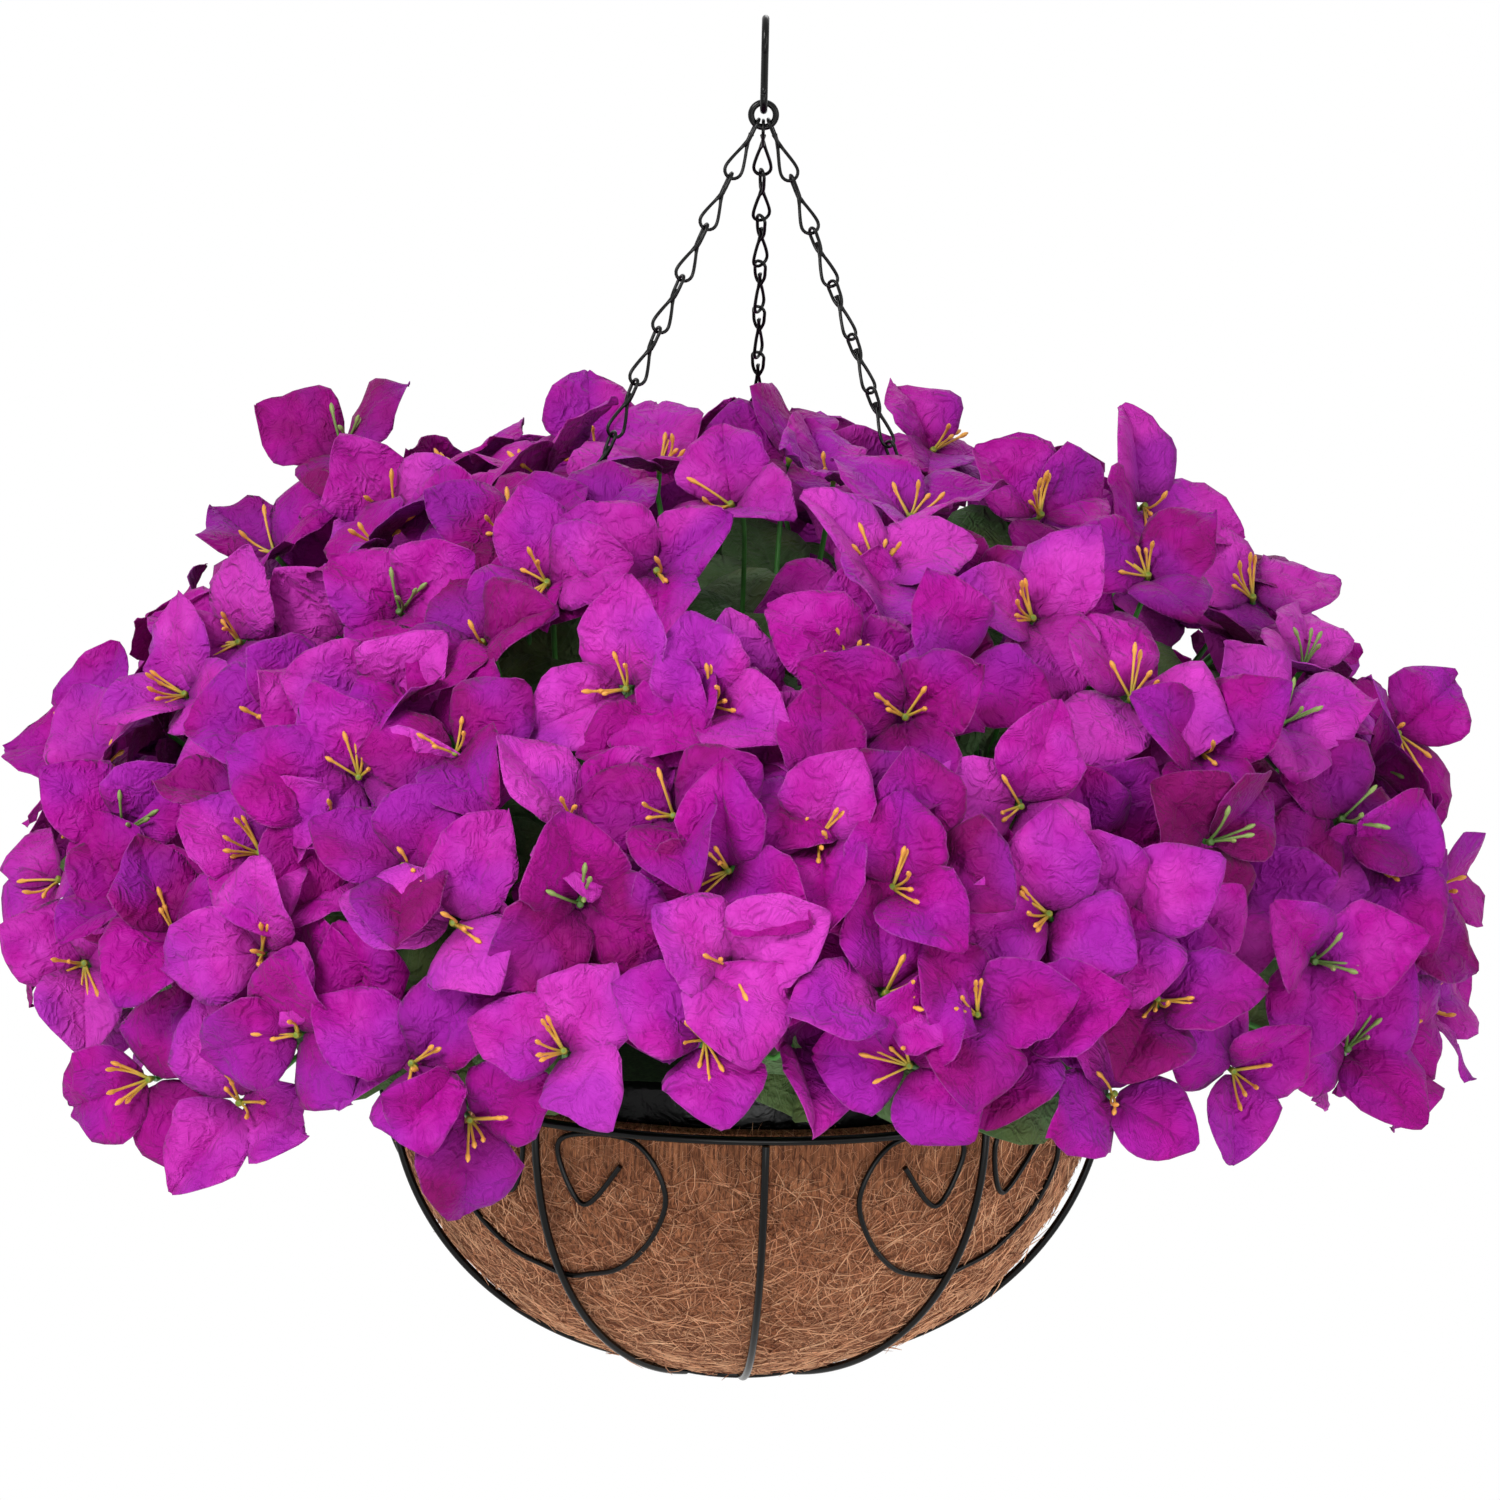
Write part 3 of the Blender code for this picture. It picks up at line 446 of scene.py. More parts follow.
def link_line(length):
    """The bent wire of a link along -Z: the upper loop opens along Y, the teardrop along X."""
    flat = math.tan(math.radians(22.5))
    round_off = 1 - flat
    strand = [
        (0, flat * LINK_LOOP, 0),
        (0, LINK_LOOP, round_off * LINK_LOOP),
        (0, LINK_LOOP, LINK_STRAIGHT * LINK_LOOP),
        (0, LINK_BELLY * LINK_LOOP, LINK_BELLY_TOP * LINK_NECK_TOP),
        (0, LINK_NECK, LINK_NECK_TOP),
        (LINK_NECK, 0, LINK_NECK_TOP + LINK_NECK_LENGTH),
        (LINK_TEARDROP, 0, length - LINK_STRAIGHT * LINK_TEARDROP),
        (LINK_TEARDROP, 0, length - round_off * LINK_TEARDROP),
        (flat * LINK_TEARDROP, 0, length),
    ]
    down = [(x, y, -t) for x, y, t in strand]
    up = [(-x, -y, -t) for x, y, t in reversed(strand)]
    return down + up


def link_ends():
    """The wire's two free ends, which cross at the neck and stand out past it."""
    neck = LINK_NECK_TOP + LINK_NECK_LENGTH
    one = [(LINK_NECK, 0, -neck), (-LINK_NECK / 2, 0, LINK_END - LINK_NECK_TOP)]
    return [one, [(-x, -y, z) for x, y, z in one]]


def chain_joints(start, end, push):
    """Points where the links meet: equal steps along a chain that the flowers push outward."""
    control = start.lerp(end, 0.5) + push
    curve = []
    for i in range(CHAIN_SAMPLES + 1):
        t = i / CHAIN_SAMPLES
        curve.append(start * (1 - t) ** 2 + control * (2 * t * (1 - t)) + end * t ** 2)
    lengths = [0.0]
    for a, b in zip(curve, curve[1:]):
        lengths.append(lengths[-1] + (b - a).length)
    count = round(lengths[-1] / LINK_PITCH)
    joints = [start]
    for i in range(1, count):
        wanted = lengths[-1] * i / count
        k = next(k for k, length in enumerate(lengths) if length > wanted)
        share = (wanted - lengths[k - 1]) / (lengths[k] - lengths[k - 1])
        joints.append(curve[k - 1].lerp(curve[k], share))
    return joints + [end]


def link_turn(top, bottom, across):
    """The turn that hangs a link from one point towards another, its teardrop opening across."""
    down = (bottom - top).normalized()
    side = (across - down * across.dot(down)).normalized()
    return Matrix((side, down.cross(side) * -1, down * -1)).transposed()


# %% Chains
LINK_LENGTH = LINK_PITCH + LINK_WIRE + SEAT_GAP

link_chain, given = new_tree("link_chain", {"Link": "Object", "Coat": "Material"})
link = add_node(link_chain, "GeometryNodeObjectInfo", {"Object": given["Link"]})
turn = add_node(link_chain, "GeometryNodeInputNamedAttribute", {
    "Name": "turn"}, data_type="FLOAT_VECTOR")
stretch = add_node(link_chain, "GeometryNodeInputNamedAttribute", {
    "Name": "stretch"}, data_type="FLOAT_VECTOR")
turned = add_node(link_chain, "FunctionNodeEulerToRotation", {0: turn})
hung = add_node(link_chain, "GeometryNodeInstanceOnPoints", {
    "Points": given["Geometry"], "Instance": link.outputs["Geometry"],
    "Rotation": turned, "Scale": stretch})
real = add_node(link_chain, "GeometryNodeRealizeInstances", {"Geometry": hung})
coated = add_node(link_chain, "GeometryNodeSetMaterial", {
    "Geometry": real, "Material": given["Coat"]})
add_node(link_chain, "NodeGroupOutput", {"Geometry": coated})


def points_mesh(name, places, attributes, edges=()):
    """A mesh of points and edges with named attributes: each a kind and a list of values."""
    mesh = bpy.data.meshes.new(name)
    mesh.from_pydata([tuple(place) for place in places], edges, [])
    for label, (kind, values) in attributes.items():
        layer = mesh.attributes.new(label, kind, "POINT")
        if kind == "FLOAT_VECTOR":
            layer.data.foreach_set("vector", [x for value in values for x in value])
        else:
            layer.data.foreach_set("value", values)
    return mesh


link_wire = line_mesh("one_link", [link_line(LINK_LENGTH)], True)
bm = bmesh.new()
bm.from_mesh(link_wire)
bm.from_mesh(line_mesh("link_ends", link_ends()))
bm.to_mesh(link_wire)
bm.free()
one_link = grow(add_piece("one_link", link_wire), bent_wire, {
    "Wire diameter": LINK_WIRE, "Point spacing": 1.1 * MM, "Sides": 8, "Coat": powder_coat})
for side, azimuth_deg, ring_angle, bulge, twist in CHAINS:
    azimuth = math.radians(azimuth_deg)
    angle = math.radians(ring_angle)
    start = Vector((RING_RADIUS * math.sin(angle), 0, RING_CENTRE_Z - RING_RADIUS * math.cos(angle)))
    radial = Vector((math.cos(azimuth), math.sin(azimuth), 0))
    joints = chain_joints(start, radial * RIM_RADIUS + RIM_CENTRE, radial * bulge)
    ring_tangent = Vector((math.cos(angle), 0, math.sin(angle)))
    rim_across = radial if radial.dot(ring_tangent) >= 0 else -radial
    last = len(joints) - 2
    places = []
    turns = []
    stretches = []
    for i, (top, bottom) in enumerate(zip(joints, joints[1:])):
        rise = (RING_WIRE + LINK_WIRE) / 2 + SEAT_GAP if i == 0 else (LINK_WIRE + SEAT_GAP) / 2
        fall = (RIM_WIRE + LINK_WIRE) / 2 + SEAT_GAP if i == last else (LINK_WIRE + SEAT_GAP) / 2
        reach = bottom - top
        places.append(top - reach.normalized() * rise)
        hang = link_turn(top, bottom, ring_tangent.lerp(rim_across, i / last))
        eased = math.radians(twist) * min(i, last - i, TWIST_LINKS) / TWIST_LINKS
        turns.append((hang @ Matrix.Rotation(eased, 3, "Z")).to_euler())
        wide = RING_LOOP_WIDER if i == 0 else 1
        stretches.append((1, wide, (reach.length + rise + fall) / LINK_LENGTH))
    name = f"chain_{side}"
    chain = grow(add_piece(name, points_mesh(name, places, {
        "turn": ("FLOAT_VECTOR", turns), "stretch": ("FLOAT_VECTOR", stretches)})), link_chain, {
            "Link": one_link, "Coat": powder_coat})
    nodes = [f"chain_{side}_link_{k + 1:02d}" for k in range(LOOSE_LINKS)] + [f"chain_{side}_lower"]
    take_over(chain, "basket", nodes)
    print(len(places), "links")
bpy.data.objects.remove(one_link, do_unlink=True)

# %% [markdown]
# ## Wire bowl
# A hoop at the rim, a small ring under the bowl, ten ribs bent to a quarter of an ellipse, and five
# heart scrolls of thinner wire behind the ribs. The scrolls stand a little off the liner, and below
# them it comes up to the ribs. Each is a line of points for the wire tree.

# %% Wire bowl
BOWL_DEPTH = 133.0 * MM
RIB_COUNT = 10
RIB_STEPS = 24
HOOP_STEPS = 96
RIB_WIRE = 3.2 * MM
RIB_TURN = math.radians(273.8)
BASE_RING = 74.0 * MM
HEART_COUNT = 5
HEART_WIRE = 2.2 * MM
# Half of a heart, in millimetres to one side of its middle and below the rim.
HEART_HALF = (
    (36.0, 14.5), (18.5, 33.0), (8.5, 13.0), (15.0, 4.0), (42.0, 4.0), (54.5, 24.0), (48.0, 44.0),
    (31.0, 60.0), (12.0, 66.0))
BASE_RADIUS = (BASE_RING - RIB_WIRE) / 2
RIB_END_RADIUS = BASE_RADIUS + RIB_WIRE / 2 + 2 * SEAT_GAP
BASE_DEPTH = BOWL_DEPTH * math.sqrt(1 - (RIB_END_RADIUS / RIM_RADIUS) ** 2)
HEART_INSET = (RIB_WIRE + HEART_WIRE) / 2 + SEAT_GAP


def hoop(radius, height, steps):
    """Points round a level circle."""
    angles = [math.tau * i / steps for i in range(steps)]
    return [(radius * math.cos(a), radius * math.sin(a), height) for a in angles]


def bowl_radius(depth, inset):
    """Radius of the bowl's elliptic wall at a depth below the rim."""
    share = min(depth / (BOWL_DEPTH - inset), 1.0)
    return (RIM_RADIUS - inset) * math.sqrt(1 - share ** 2)


rim_hoop = hoop(RIM_RADIUS, RIM_Z, HOOP_STEPS)
wire_piece("rim", [rim_hoop], RIM_WIRE, "basket", ["rim_hoop"], True, 3 * MM, 14)
base_hoop = hoop(BASE_RADIUS, RIM_Z - BASE_DEPTH, HOOP_STEPS // 2)
wire_piece("base", [base_hoop], RIB_WIRE, "basket", ["base_ring"], True, 2 * MM, 12)

rib_start = math.asin((RIM_WIRE / 2 + SEAT_GAP) / BOWL_DEPTH)
rib_end = math.acos(RIB_END_RADIUS / RIM_RADIUS)
ribs = []
for k in range(RIB_COUNT):
    azimuth = RIB_TURN + math.tau * k / RIB_COUNT
    points = []
    for i in range(RIB_STEPS + 1):
        t = rib_start + (rib_end - rib_start) * i / RIB_STEPS
        reach = RIM_RADIUS * math.cos(t)
        height = RIM_Z - BOWL_DEPTH * math.sin(t)
        points.append((reach * math.cos(azimuth), reach * math.sin(azimuth), height))
    ribs.append(points)
rib_nodes = [f"rib_{k + 1:02d}" for k in range(RIB_COUNT)]
wire_piece("ribs", ribs, RIB_WIRE, "basket", rib_nodes, spacing=3 * MM)

half_heart = HEART_HALF + ((0.0, HEART_HALF[-1][1] + HEART_WIRE / MM),)
heart_outline = list(half_heart) + [(-s, h) for s, h in reversed(half_heart[:-1])]
hearts = []
for k in range(HEART_COUNT):
    azimuth = RIB_TURN + math.tau / RIB_COUNT + math.tau * k / HEART_COUNT
    points = []
    for s, depth in heart_outline:
        reach = bowl_radius(depth * MM, HEART_INSET)
        around = azimuth + s * MM / RIM_RADIUS
        points.append((reach * math.cos(around), reach * math.sin(around), RIM_Z - depth * MM))
    hearts.append(points)
heart_nodes = [f"heart_scroll_{k + 1}" for k in range(HEART_COUNT)]
wire_piece("heart_scrolls", hearts, HEART_WIRE, "basket", heart_nodes, spacing=1.5 * MM)

# %% [markdown]
# ## Finish: coir felt
# Coir is the brown fibre of the coconut husk, needled into a felt and pressed to a bowl. The eye
# sees light curled fibres over dark gaps. The felt below the loose fibres gets a fibre pattern from
# noise stretched along several directions, and the fibres themselves are geometry.

# %% Coir felt
FIBRE_WIDTH = 0.5 * MM
FIBRE_PATCH = 9.0 * MM
FELT_DIRECTIONS = ((0.3, 0.2, 0.0), (1.2, 0.5, 0.9), (0.4, 1.3, 2.1), (0.9, 1.1, 0.4))


def felt_pattern(tree, coords):
    """Lightness of a felt: the lightest of noises that are stretched along several directions."""
    level = 0.0
    for angles in FELT_DIRECTIONS:
        turned = add_node(tree, "ShaderNodeMapping", {
            "Vector": coords.outputs["Object"], "Rotation": angles,
            "Scale": (1 / FIBRE_WIDTH, 1 / FIBRE_WIDTH, 1 / FIBRE_PATCH)})
        strands = add_node(tree, "ShaderNodeTexNoise", {
            "Vector": turned, "Scale": 0.5, "Detail": 2.0, "Distortion": 0.8})
        level = add_node(tree, "ShaderNodeMath", {0: level, 1: strands}, operation="MAXIMUM")
    return add_node(tree, "ShaderNodeMapRange", {"Value": level, "From Min": 0.5, "From Max": 0.8})


def coir_material(name, hex_dark, hex_mid, hex_light, shade=None):
    """Coir: a felt with a fibre pattern, or single fibres whose lightness comes from an attribute."""
    material, tree, shader = new_material(name)
    coords = add_node(tree, "ShaderNodeTexCoord")
    if shade:
        level = add_node(tree, "ShaderNodeAttribute", attribute_name=shade).outputs["Fac"]
    else:
        level = felt_pattern(tree, coords)
        bump = add_node(tree, "ShaderNodeBump", {"Height": level, "Strength": 0.7, "Distance": 0.8 * MM})
        fill_inputs(tree, shader, {"Normal": bump})
    patch = add_node(tree, "ShaderNodeTexNoise", {
        "Vector": coords.outputs["Object"], "Scale": 1 / FIBRE_PATCH, "Detail": 2.0})
    low = add_node(tree, "ShaderNodeMix", {
        0: level, 6: linear(hex_dark), 7: linear(hex_mid)}, data_type="RGBA")
    lift = add_node(tree, "ShaderNodeMath", {0: level, 1: patch}, operation="MULTIPLY")
    colour = add_node(tree, "ShaderNodeMix", {0: lift, 6: low, 7: linear(hex_light)}, data_type="RGBA")
    fill_inputs(tree, shader, {"Base Color": colour, "Roughness": 0.9, "IOR": 1.45})
    return material


coir_felt = coir_material("coir_felt", "#542C18", "#B06640", "#DC9A6C")
coir_fibre = coir_material("coir_fibre", "#703A22", "#F29E70", "#FFDCB4", "shade")

# %% [markdown]
# ## Coir liner
# The liner is a bowl inside the ribs. It swells a little between them, its lower half is pressed out
# towards them, and its surface is lumpy.
# The wall is closed: outside, top edge and inside. A second tree strews curled fibres over the
# outside and turns each one flat to the surface, with some that stand off, as felt frays.

# %% Liner bowl
LINER_STANDOFF = 2.6 * MM
LINER_WALL = 8.0 * MM
LINER_ABOVE_RIM = 0.6 * MM
LINER_SWELL = 1.6 * MM
LINER_PRESS = 3.4 * MM
LINER_LUMP = 1.4 * MM
LUMP_SIZE = 22.0 * MM
LINER_RADIUS = RIM_RADIUS - HEART_INSET - HEART_WIRE / 2 - LINER_STANDOFF
LINER_DEPTH = BOWL_DEPTH - RIB_WIRE / 2 - SEAT_GAP
LINER_FLOOR = BASE_DEPTH - RIB_WIRE / 2 - SEAT_GAP
LINER_AROUND = 160
LINER_ROWS = 22
LINER_EDGE_ROUND = 1.2 * MM
PRESS_FROM = 0.55
PRESS_OVER = 0.2
FLAT_FROM = 1.2


def liner_point(t, azimuth, inset, top=0.0):
    """A point of the liner's wall: t from 0 at the rim to a quarter turn at the bottom."""
    between = 0.5 - 0.5 * math.cos(RIB_COUNT * (azimuth - RIB_TURN))
    swell = LINER_SWELL * between * math.sin(min(2 * t + 0.5, math.pi))
    press = LINER_PRESS * min(max((t - PRESS_FROM) / PRESS_OVER, 0.0), 1.0)
    radius = LINER_RADIUS - inset + swell + press
    depth = LINER_DEPTH - inset
    spot = Vector((radius * math.cos(t) * math.cos(azimuth), radius * math.cos(t) * math.sin(azimuth),
                   -min(depth * math.sin(t), LINER_FLOOR - inset)))
    lump = noise.noise(spot / LUMP_SIZE + Vector((inset / MM, 3.1, 0))) * LINER_LUMP
    lump = min(lump, 0.0) if t > FLAT_FROM else lump
    outward = Vector((math.cos(t) * math.cos(azimuth), math.cos(t) * math.sin(azimuth), -math.sin(t)))
    return spot + outward * lump + Vector((0, 0, RIM_Z + top))


def liner_rows():
    """The rows of the liner's wall, from the outside's pole over the edge to the inside's pole."""
    slope = [math.pi / 2 * (1 - i / LINER_ROWS) for i in range(LINER_ROWS + 1)]
    rows = [(t, 0.0, 0.0) for t in slope]
    rows += [(0.0, 0.0, LINER_ABOVE_RIM), (0.0, LINER_WALL / 2, LINER_ABOVE_RIM + LINER_EDGE_ROUND)]
    rows += [(0.0, LINER_WALL, LINER_ABOVE_RIM)]
    return rows + [(t, LINER_WALL, 0.0) for t in reversed(slope)]


def bridge_rings(bm, rings):
    """Join each ring of verts to the next one with faces, and give the faces."""
    faces = []
    for low, high in zip(rings, rings[1:]):
        for k in range(len(low)):
            faces.append(bm.faces.new((low[k - 1], low[k], high[k], high[k - 1])))
    return faces


def round_axis(bm, rows, point):
    """A ring of verts round the axis for each row, joined by faces."""
    angles = [math.tau * k / LINER_AROUND for k in range(LINER_AROUND)]
    rings = [[bm.verts.new(point(t, angle, inset, top)) for angle in angles] for t, inset, top in rows]
    bridge_rings(bm, rings)
    return rings


def lathe_mesh(name, rows, point):
    """A closed wall from rows round the axis, whose first and last rows are poles."""
    bm = bmesh.new()
    rings = round_axis(bm, rows, point)
    for pole in (rings[0], rings[-1]):
        middle = sum((v.co for v in pole), Vector()) / len(pole)
        bmesh.ops.pointmerge(bm, verts=pole, merge_co=middle)
    return finished_mesh(bm, name, rounded=True)


liner = add_piece("liner", lathe_mesh("liner", liner_rows(), liner_point))
liner.data.materials.append(coir_felt)
take_over(liner, "basket", ["coir_liner"])

# %% Fibre tree
strewn_fibres, given = new_tree("strewn_fibres", {
    "Fibres": "Collection", "Density": "Float", "Stand off": "Float", "Least size": "Float",
    "Most size": "Float", "Seed": "Int", "Fibre": "Material"})
spread = add_node(strewn_fibres, "GeometryNodeDistributePointsOnFaces", {
    "Mesh": given["Geometry"], "Density": given["Density"], "Seed": given["Seed"]},
    distribute_method="RANDOM")
kinds = add_node(strewn_fibres, "GeometryNodeCollectionInfo", {
    "Collection": given["Fibres"], "Separate Children": True, "Reset Children": True})
flat = add_node(strewn_fibres, "FunctionNodeAlignRotationToVector", {
    "Vector": spread.outputs["Normal"]}, axis="Z")
lean = add_node(strewn_fibres, "ShaderNodeMath", {0: given["Stand off"], 1: -1.0}, operation="MULTIPLY")
lean_y = add_node(strewn_fibres, "FunctionNodeRandomValue", {
    2: lean, 3: given["Stand off"], "Seed": 5}, data_type="FLOAT")
roll = add_node(strewn_fibres, "FunctionNodeRandomValue", {2: 0.0, 3: math.tau, "Seed": 6}, data_type="FLOAT")
swing = add_node(strewn_fibres, "ShaderNodeCombineXYZ", {"Y": lean_y, "Z": roll})
swung = add_node(strewn_fibres, "FunctionNodeEulerToRotation", {0: swing})
laid = add_node(strewn_fibres, "FunctionNodeRotateRotation", {
    0: flat, 1: swung}, rotation_space="LOCAL")
size = add_node(strewn_fibres, "FunctionNodeRandomValue", {
    2: given["Least size"], 3: given["Most size"], "Seed": 7}, data_type="FLOAT")
put = add_node(strewn_fibres, "GeometryNodeInstanceOnPoints", {
    "Points": spread.outputs["Points"], "Instance": kinds, "Pick Instance": True,
    "Rotation": laid, "Scale": size})
lightness = add_node(strewn_fibres, "FunctionNodeRandomValue", {2: 0.0, 3: 1.0, "Seed": 8}, data_type="FLOAT")
shaded = add_node(strewn_fibres, "GeometryNodeStoreNamedAttribute", {
    "Geometry": put, "Name": "shade", "Value": lightness},
    data_type="FLOAT", domain="INSTANCE")
real = add_node(strewn_fibres, "GeometryNodeRealizeInstances", {"Geometry": shaded})
made = add_node(strewn_fibres, "GeometryNodeSetMaterial", {
    "Geometry": real, "Material": given["Fibre"]})
add_node(strewn_fibres, "NodeGroupOutput", {"Geometry": made})

# %% Loose fibres
FIBRE_LENGTH = 24.0 * MM
FIBRE_KINDS = 5
FIBRE_STEPS = 5
FIBRE_TIP = 0.35
FIBRE_CORNERS = (math.pi / 2, math.pi * 7 / 6, math.pi * 11 / 6)
FIBRE_BEND = (0.3, 1.3)
FIBRE_WAVE = (-0.12, 0.12)
# Each layer has a name, its first and last row, fibres per square metre, the stand-off in radians, the
# range of sizes and a seed.
FIBRE_LAYERS = (
    ("liner_fibres_low", (1, 13), 90000, 0.05, (0.5, 1.3), 1),
    ("liner_fibres_high", (13, 20), 90000, 0.05, (0.5, 1.3), 2),
    ("liner_fibres_edge", (20, 22), 200000, 0.05, (0.25, 0.5), 4),
    ("liner_fibres_loose", (2, 19), 5000, 0.36, (0.5, 1.1), 3),
)


def fibre_mesh(name, rng):
    """One curled fibre along X: a three-sided tube that tapers at both ends."""
    bend = rng.choice((-1, 1)) * rng.uniform(*FIBRE_BEND)
    wave = rng.uniform(*FIBRE_WAVE)
    rings = []
    bm = bmesh.new()
    for i in range(FIBRE_STEPS + 1):
        t = i / FIBRE_STEPS - 0.5
        centre = Vector((t, bend * t * t, wave * math.sin(5 * t) * 0.25)) * FIBRE_LENGTH
        thick = FIBRE_WIDTH / 2 * (FIBRE_TIP if i in (0, FIBRE_STEPS) else 1.0)
        rings.append([bm.verts.new(centre + Vector((0, math.cos(a), math.sin(a))) * thick)
                      for a in FIBRE_CORNERS])
    bridge_rings(bm, rings)
    bm.faces.new(rings[0])
    bm.faces.new(rings[-1])
    return finished_mesh(bm, name, rounded=True)


fibre_rng = random.Random(11)
fibre_kinds = bpy.data.collections.new("fibre_kinds")
bpy.context.scene.collection.children.link(fibre_kinds)
for k in range(FIBRE_KINDS):
    fibre_kinds.objects.link(bpy.data.objects.new(f"fibre_{k}", fibre_mesh(f"fibre_{k}", fibre_rng)))


def outside_mesh(name, first_row, last_row):
    """The outside of the liner between two of its rows, as a sheet to strew fibres on."""
    bm = bmesh.new()
    round_axis(bm, liner_rows()[first_row:last_row + 1], liner_point)
    return finished_mesh(bm, name)


def clear_kinds(collection):
    """Remove a collection of shapes once a tree has set them out."""
    for item in list(collection.objects):
        bpy.data.objects.remove(item, do_unlink=True)
    bpy.data.collections.remove(collection)


for name, rows, density, stand_off, sizes, seed in FIBRE_LAYERS:
    fibres = grow(add_piece(name, outside_mesh(name, *rows)), strewn_fibres, {
        "Fibres": fibre_kinds, "Density": density, "Stand off": stand_off, "Least size": sizes[0],
        "Most size": sizes[1], "Seed": seed, "Fibre": coir_fibre})
    take_over(fibres, "basket", ["coir_liner"])
clear_kinds(fibre_kinds)

# %% [markdown]
# ## Black film
# A sheet of black polythene lines the coir, and its gathered edge stands up above the rim behind
# the flowers. It is blown film: smooth and shiny, with soft creases from being folded.

# %% Film
FILM_ABOVE_RIM = 18.0 * MM
FILM_INSET = LINER_WALL + SEAT_GAP
FILM_WALL = 0.4 * MM
FILM_FOLD = 2.2 * MM
FILM_FOLDS = 23
FILM_DROOP = 3.0 * MM
FILM_CREASE = 9.0 * MM
FILM_ROWS = 10
FILM_EDGE_ROWS = 5

polythene, tree, shader = new_material("black_polythene_film")
coords = add_node(tree, "ShaderNodeTexCoord")
crease = add_node(tree, "ShaderNodeTexNoise", {
    "Vector": coords.outputs["Object"], "Scale": 1 / FILM_CREASE, "Detail": 4.0, "Distortion": 1.2})
black = add_node(tree, "ShaderNodeMix", {
    0: crease, 6: linear("#040404"), 7: linear("#0A0A0B")}, data_type="RGBA")
bump = add_node(tree, "ShaderNodeBump", {"Height": crease, "Strength": 0.6, "Distance": 1.5 * MM})
fill_inputs(tree, shader, {
    "Base Color": black, "Roughness": 0.22, "Specular IOR Level": 0.15, "Normal": bump})


def film_point(t, azimuth, inset, top):
    """A point of the film: smooth against the liner, gathered into folds above it."""
    lift = max(top, 0.0) / FILM_ABOVE_RIM
    fold = math.sin(FILM_FOLDS * azimuth + 1.5 * math.sin(3 * azimuth)) * FILM_FOLD * lift
    droop = FILM_DROOP * lift * noise.noise(Vector((math.cos(azimuth), math.sin(azimuth), 0)) * 4)
    floor_z = -min((LINER_DEPTH - inset) * math.sin(t), LINER_FLOOR - inset)
    reach = (LINER_RADIUS - inset) * math.cos(t) - max(fold, -FILM_FOLD) * 0.5 - FILM_FOLD * lift * 0.5
    return Vector((reach * math.cos(azimuth), reach * math.sin(azimuth), RIM_Z + floor_z + top + droop))


film_slope = [math.pi / 2 * (1 - i / FILM_ROWS) for i in range(FILM_ROWS + 1)]
film_rise = [FILM_ABOVE_RIM * k / FILM_EDGE_ROWS for k in range(1, FILM_EDGE_ROWS + 1)]
film_rows = [(t, FILM_INSET, 0.0) for t in film_slope] + [(0.0, FILM_INSET, h) for h in film_rise]
film_rows += [(0.0, FILM_INSET + FILM_WALL, h) for h in reversed(film_rise)]
film_rows += [(t, FILM_INSET + FILM_WALL, 0.0) for t in reversed(film_slope)]
film = add_piece("film", lathe_mesh("film", film_rows, film_point))
film.data.materials.append(polythene)
take_over(film, "basket", ["film_liner"])

# %% [markdown]
# ## Finish: floral foam
# The block is green phenolic floral foam, cut with a knife: matt, with fine open pores. Its CAD
# solid has the right shape, so it stays and only gets this finish.

# %% Foam
FOAM_PORE = 1.6 * MM

floral_foam, tree, shader = new_material("green_floral_foam")
coords = add_node(tree, "ShaderNodeTexCoord")
pores = add_node(tree, "ShaderNodeTexVoronoi", {
    "Vector": coords.outputs["Object"], "Scale": 1 / FOAM_PORE})
green = add_node(tree, "ShaderNodeMix", {
    0: pores, 6: linear("#22361F"), 7: linear("#44633A")}, data_type="RGBA")
bump = add_node(tree, "ShaderNodeBump", {"Height": pores, "Strength": 0.5, "Distance": 0.6 * MM})
fill_inputs(tree, shader, {"Base Color": green, "Roughness": 0.95, "Normal": bump})
foam = frame["nodes"]["foam_block"]
foam.data.materials.clear()
foam.data.materials.append(floral_foam)
print("foam", triangles(foam), "triangles")

# %% [markdown]
# ## Finish: dyed polyester bracts and leaves
# The flowers' bracts and the leaves are woven polyester, dyed, starched and hot pressed in a mould,
# then cut out. The eye sees a matt to silky cloth with pressed veins, a crumpled surface, a
# crease along the middle, and a paler frayed edge where the cut opens the weave.

# %% Cloth finishes
THREADS_ACROSS = 6.0
THREADS_ALONG = 38.0
CRUMPLE = 7.0 * MM
DYE_CLOUD = 13.0 * MM
DYE_DRIFT = 38.0 * MM
FRAY = 2.5 * MM
FRAY_DEPTH = 0.03
VEIN_SLANT = 0.45
VEIN_HALF = 0.12
MIDRIB_HALF = 0.05


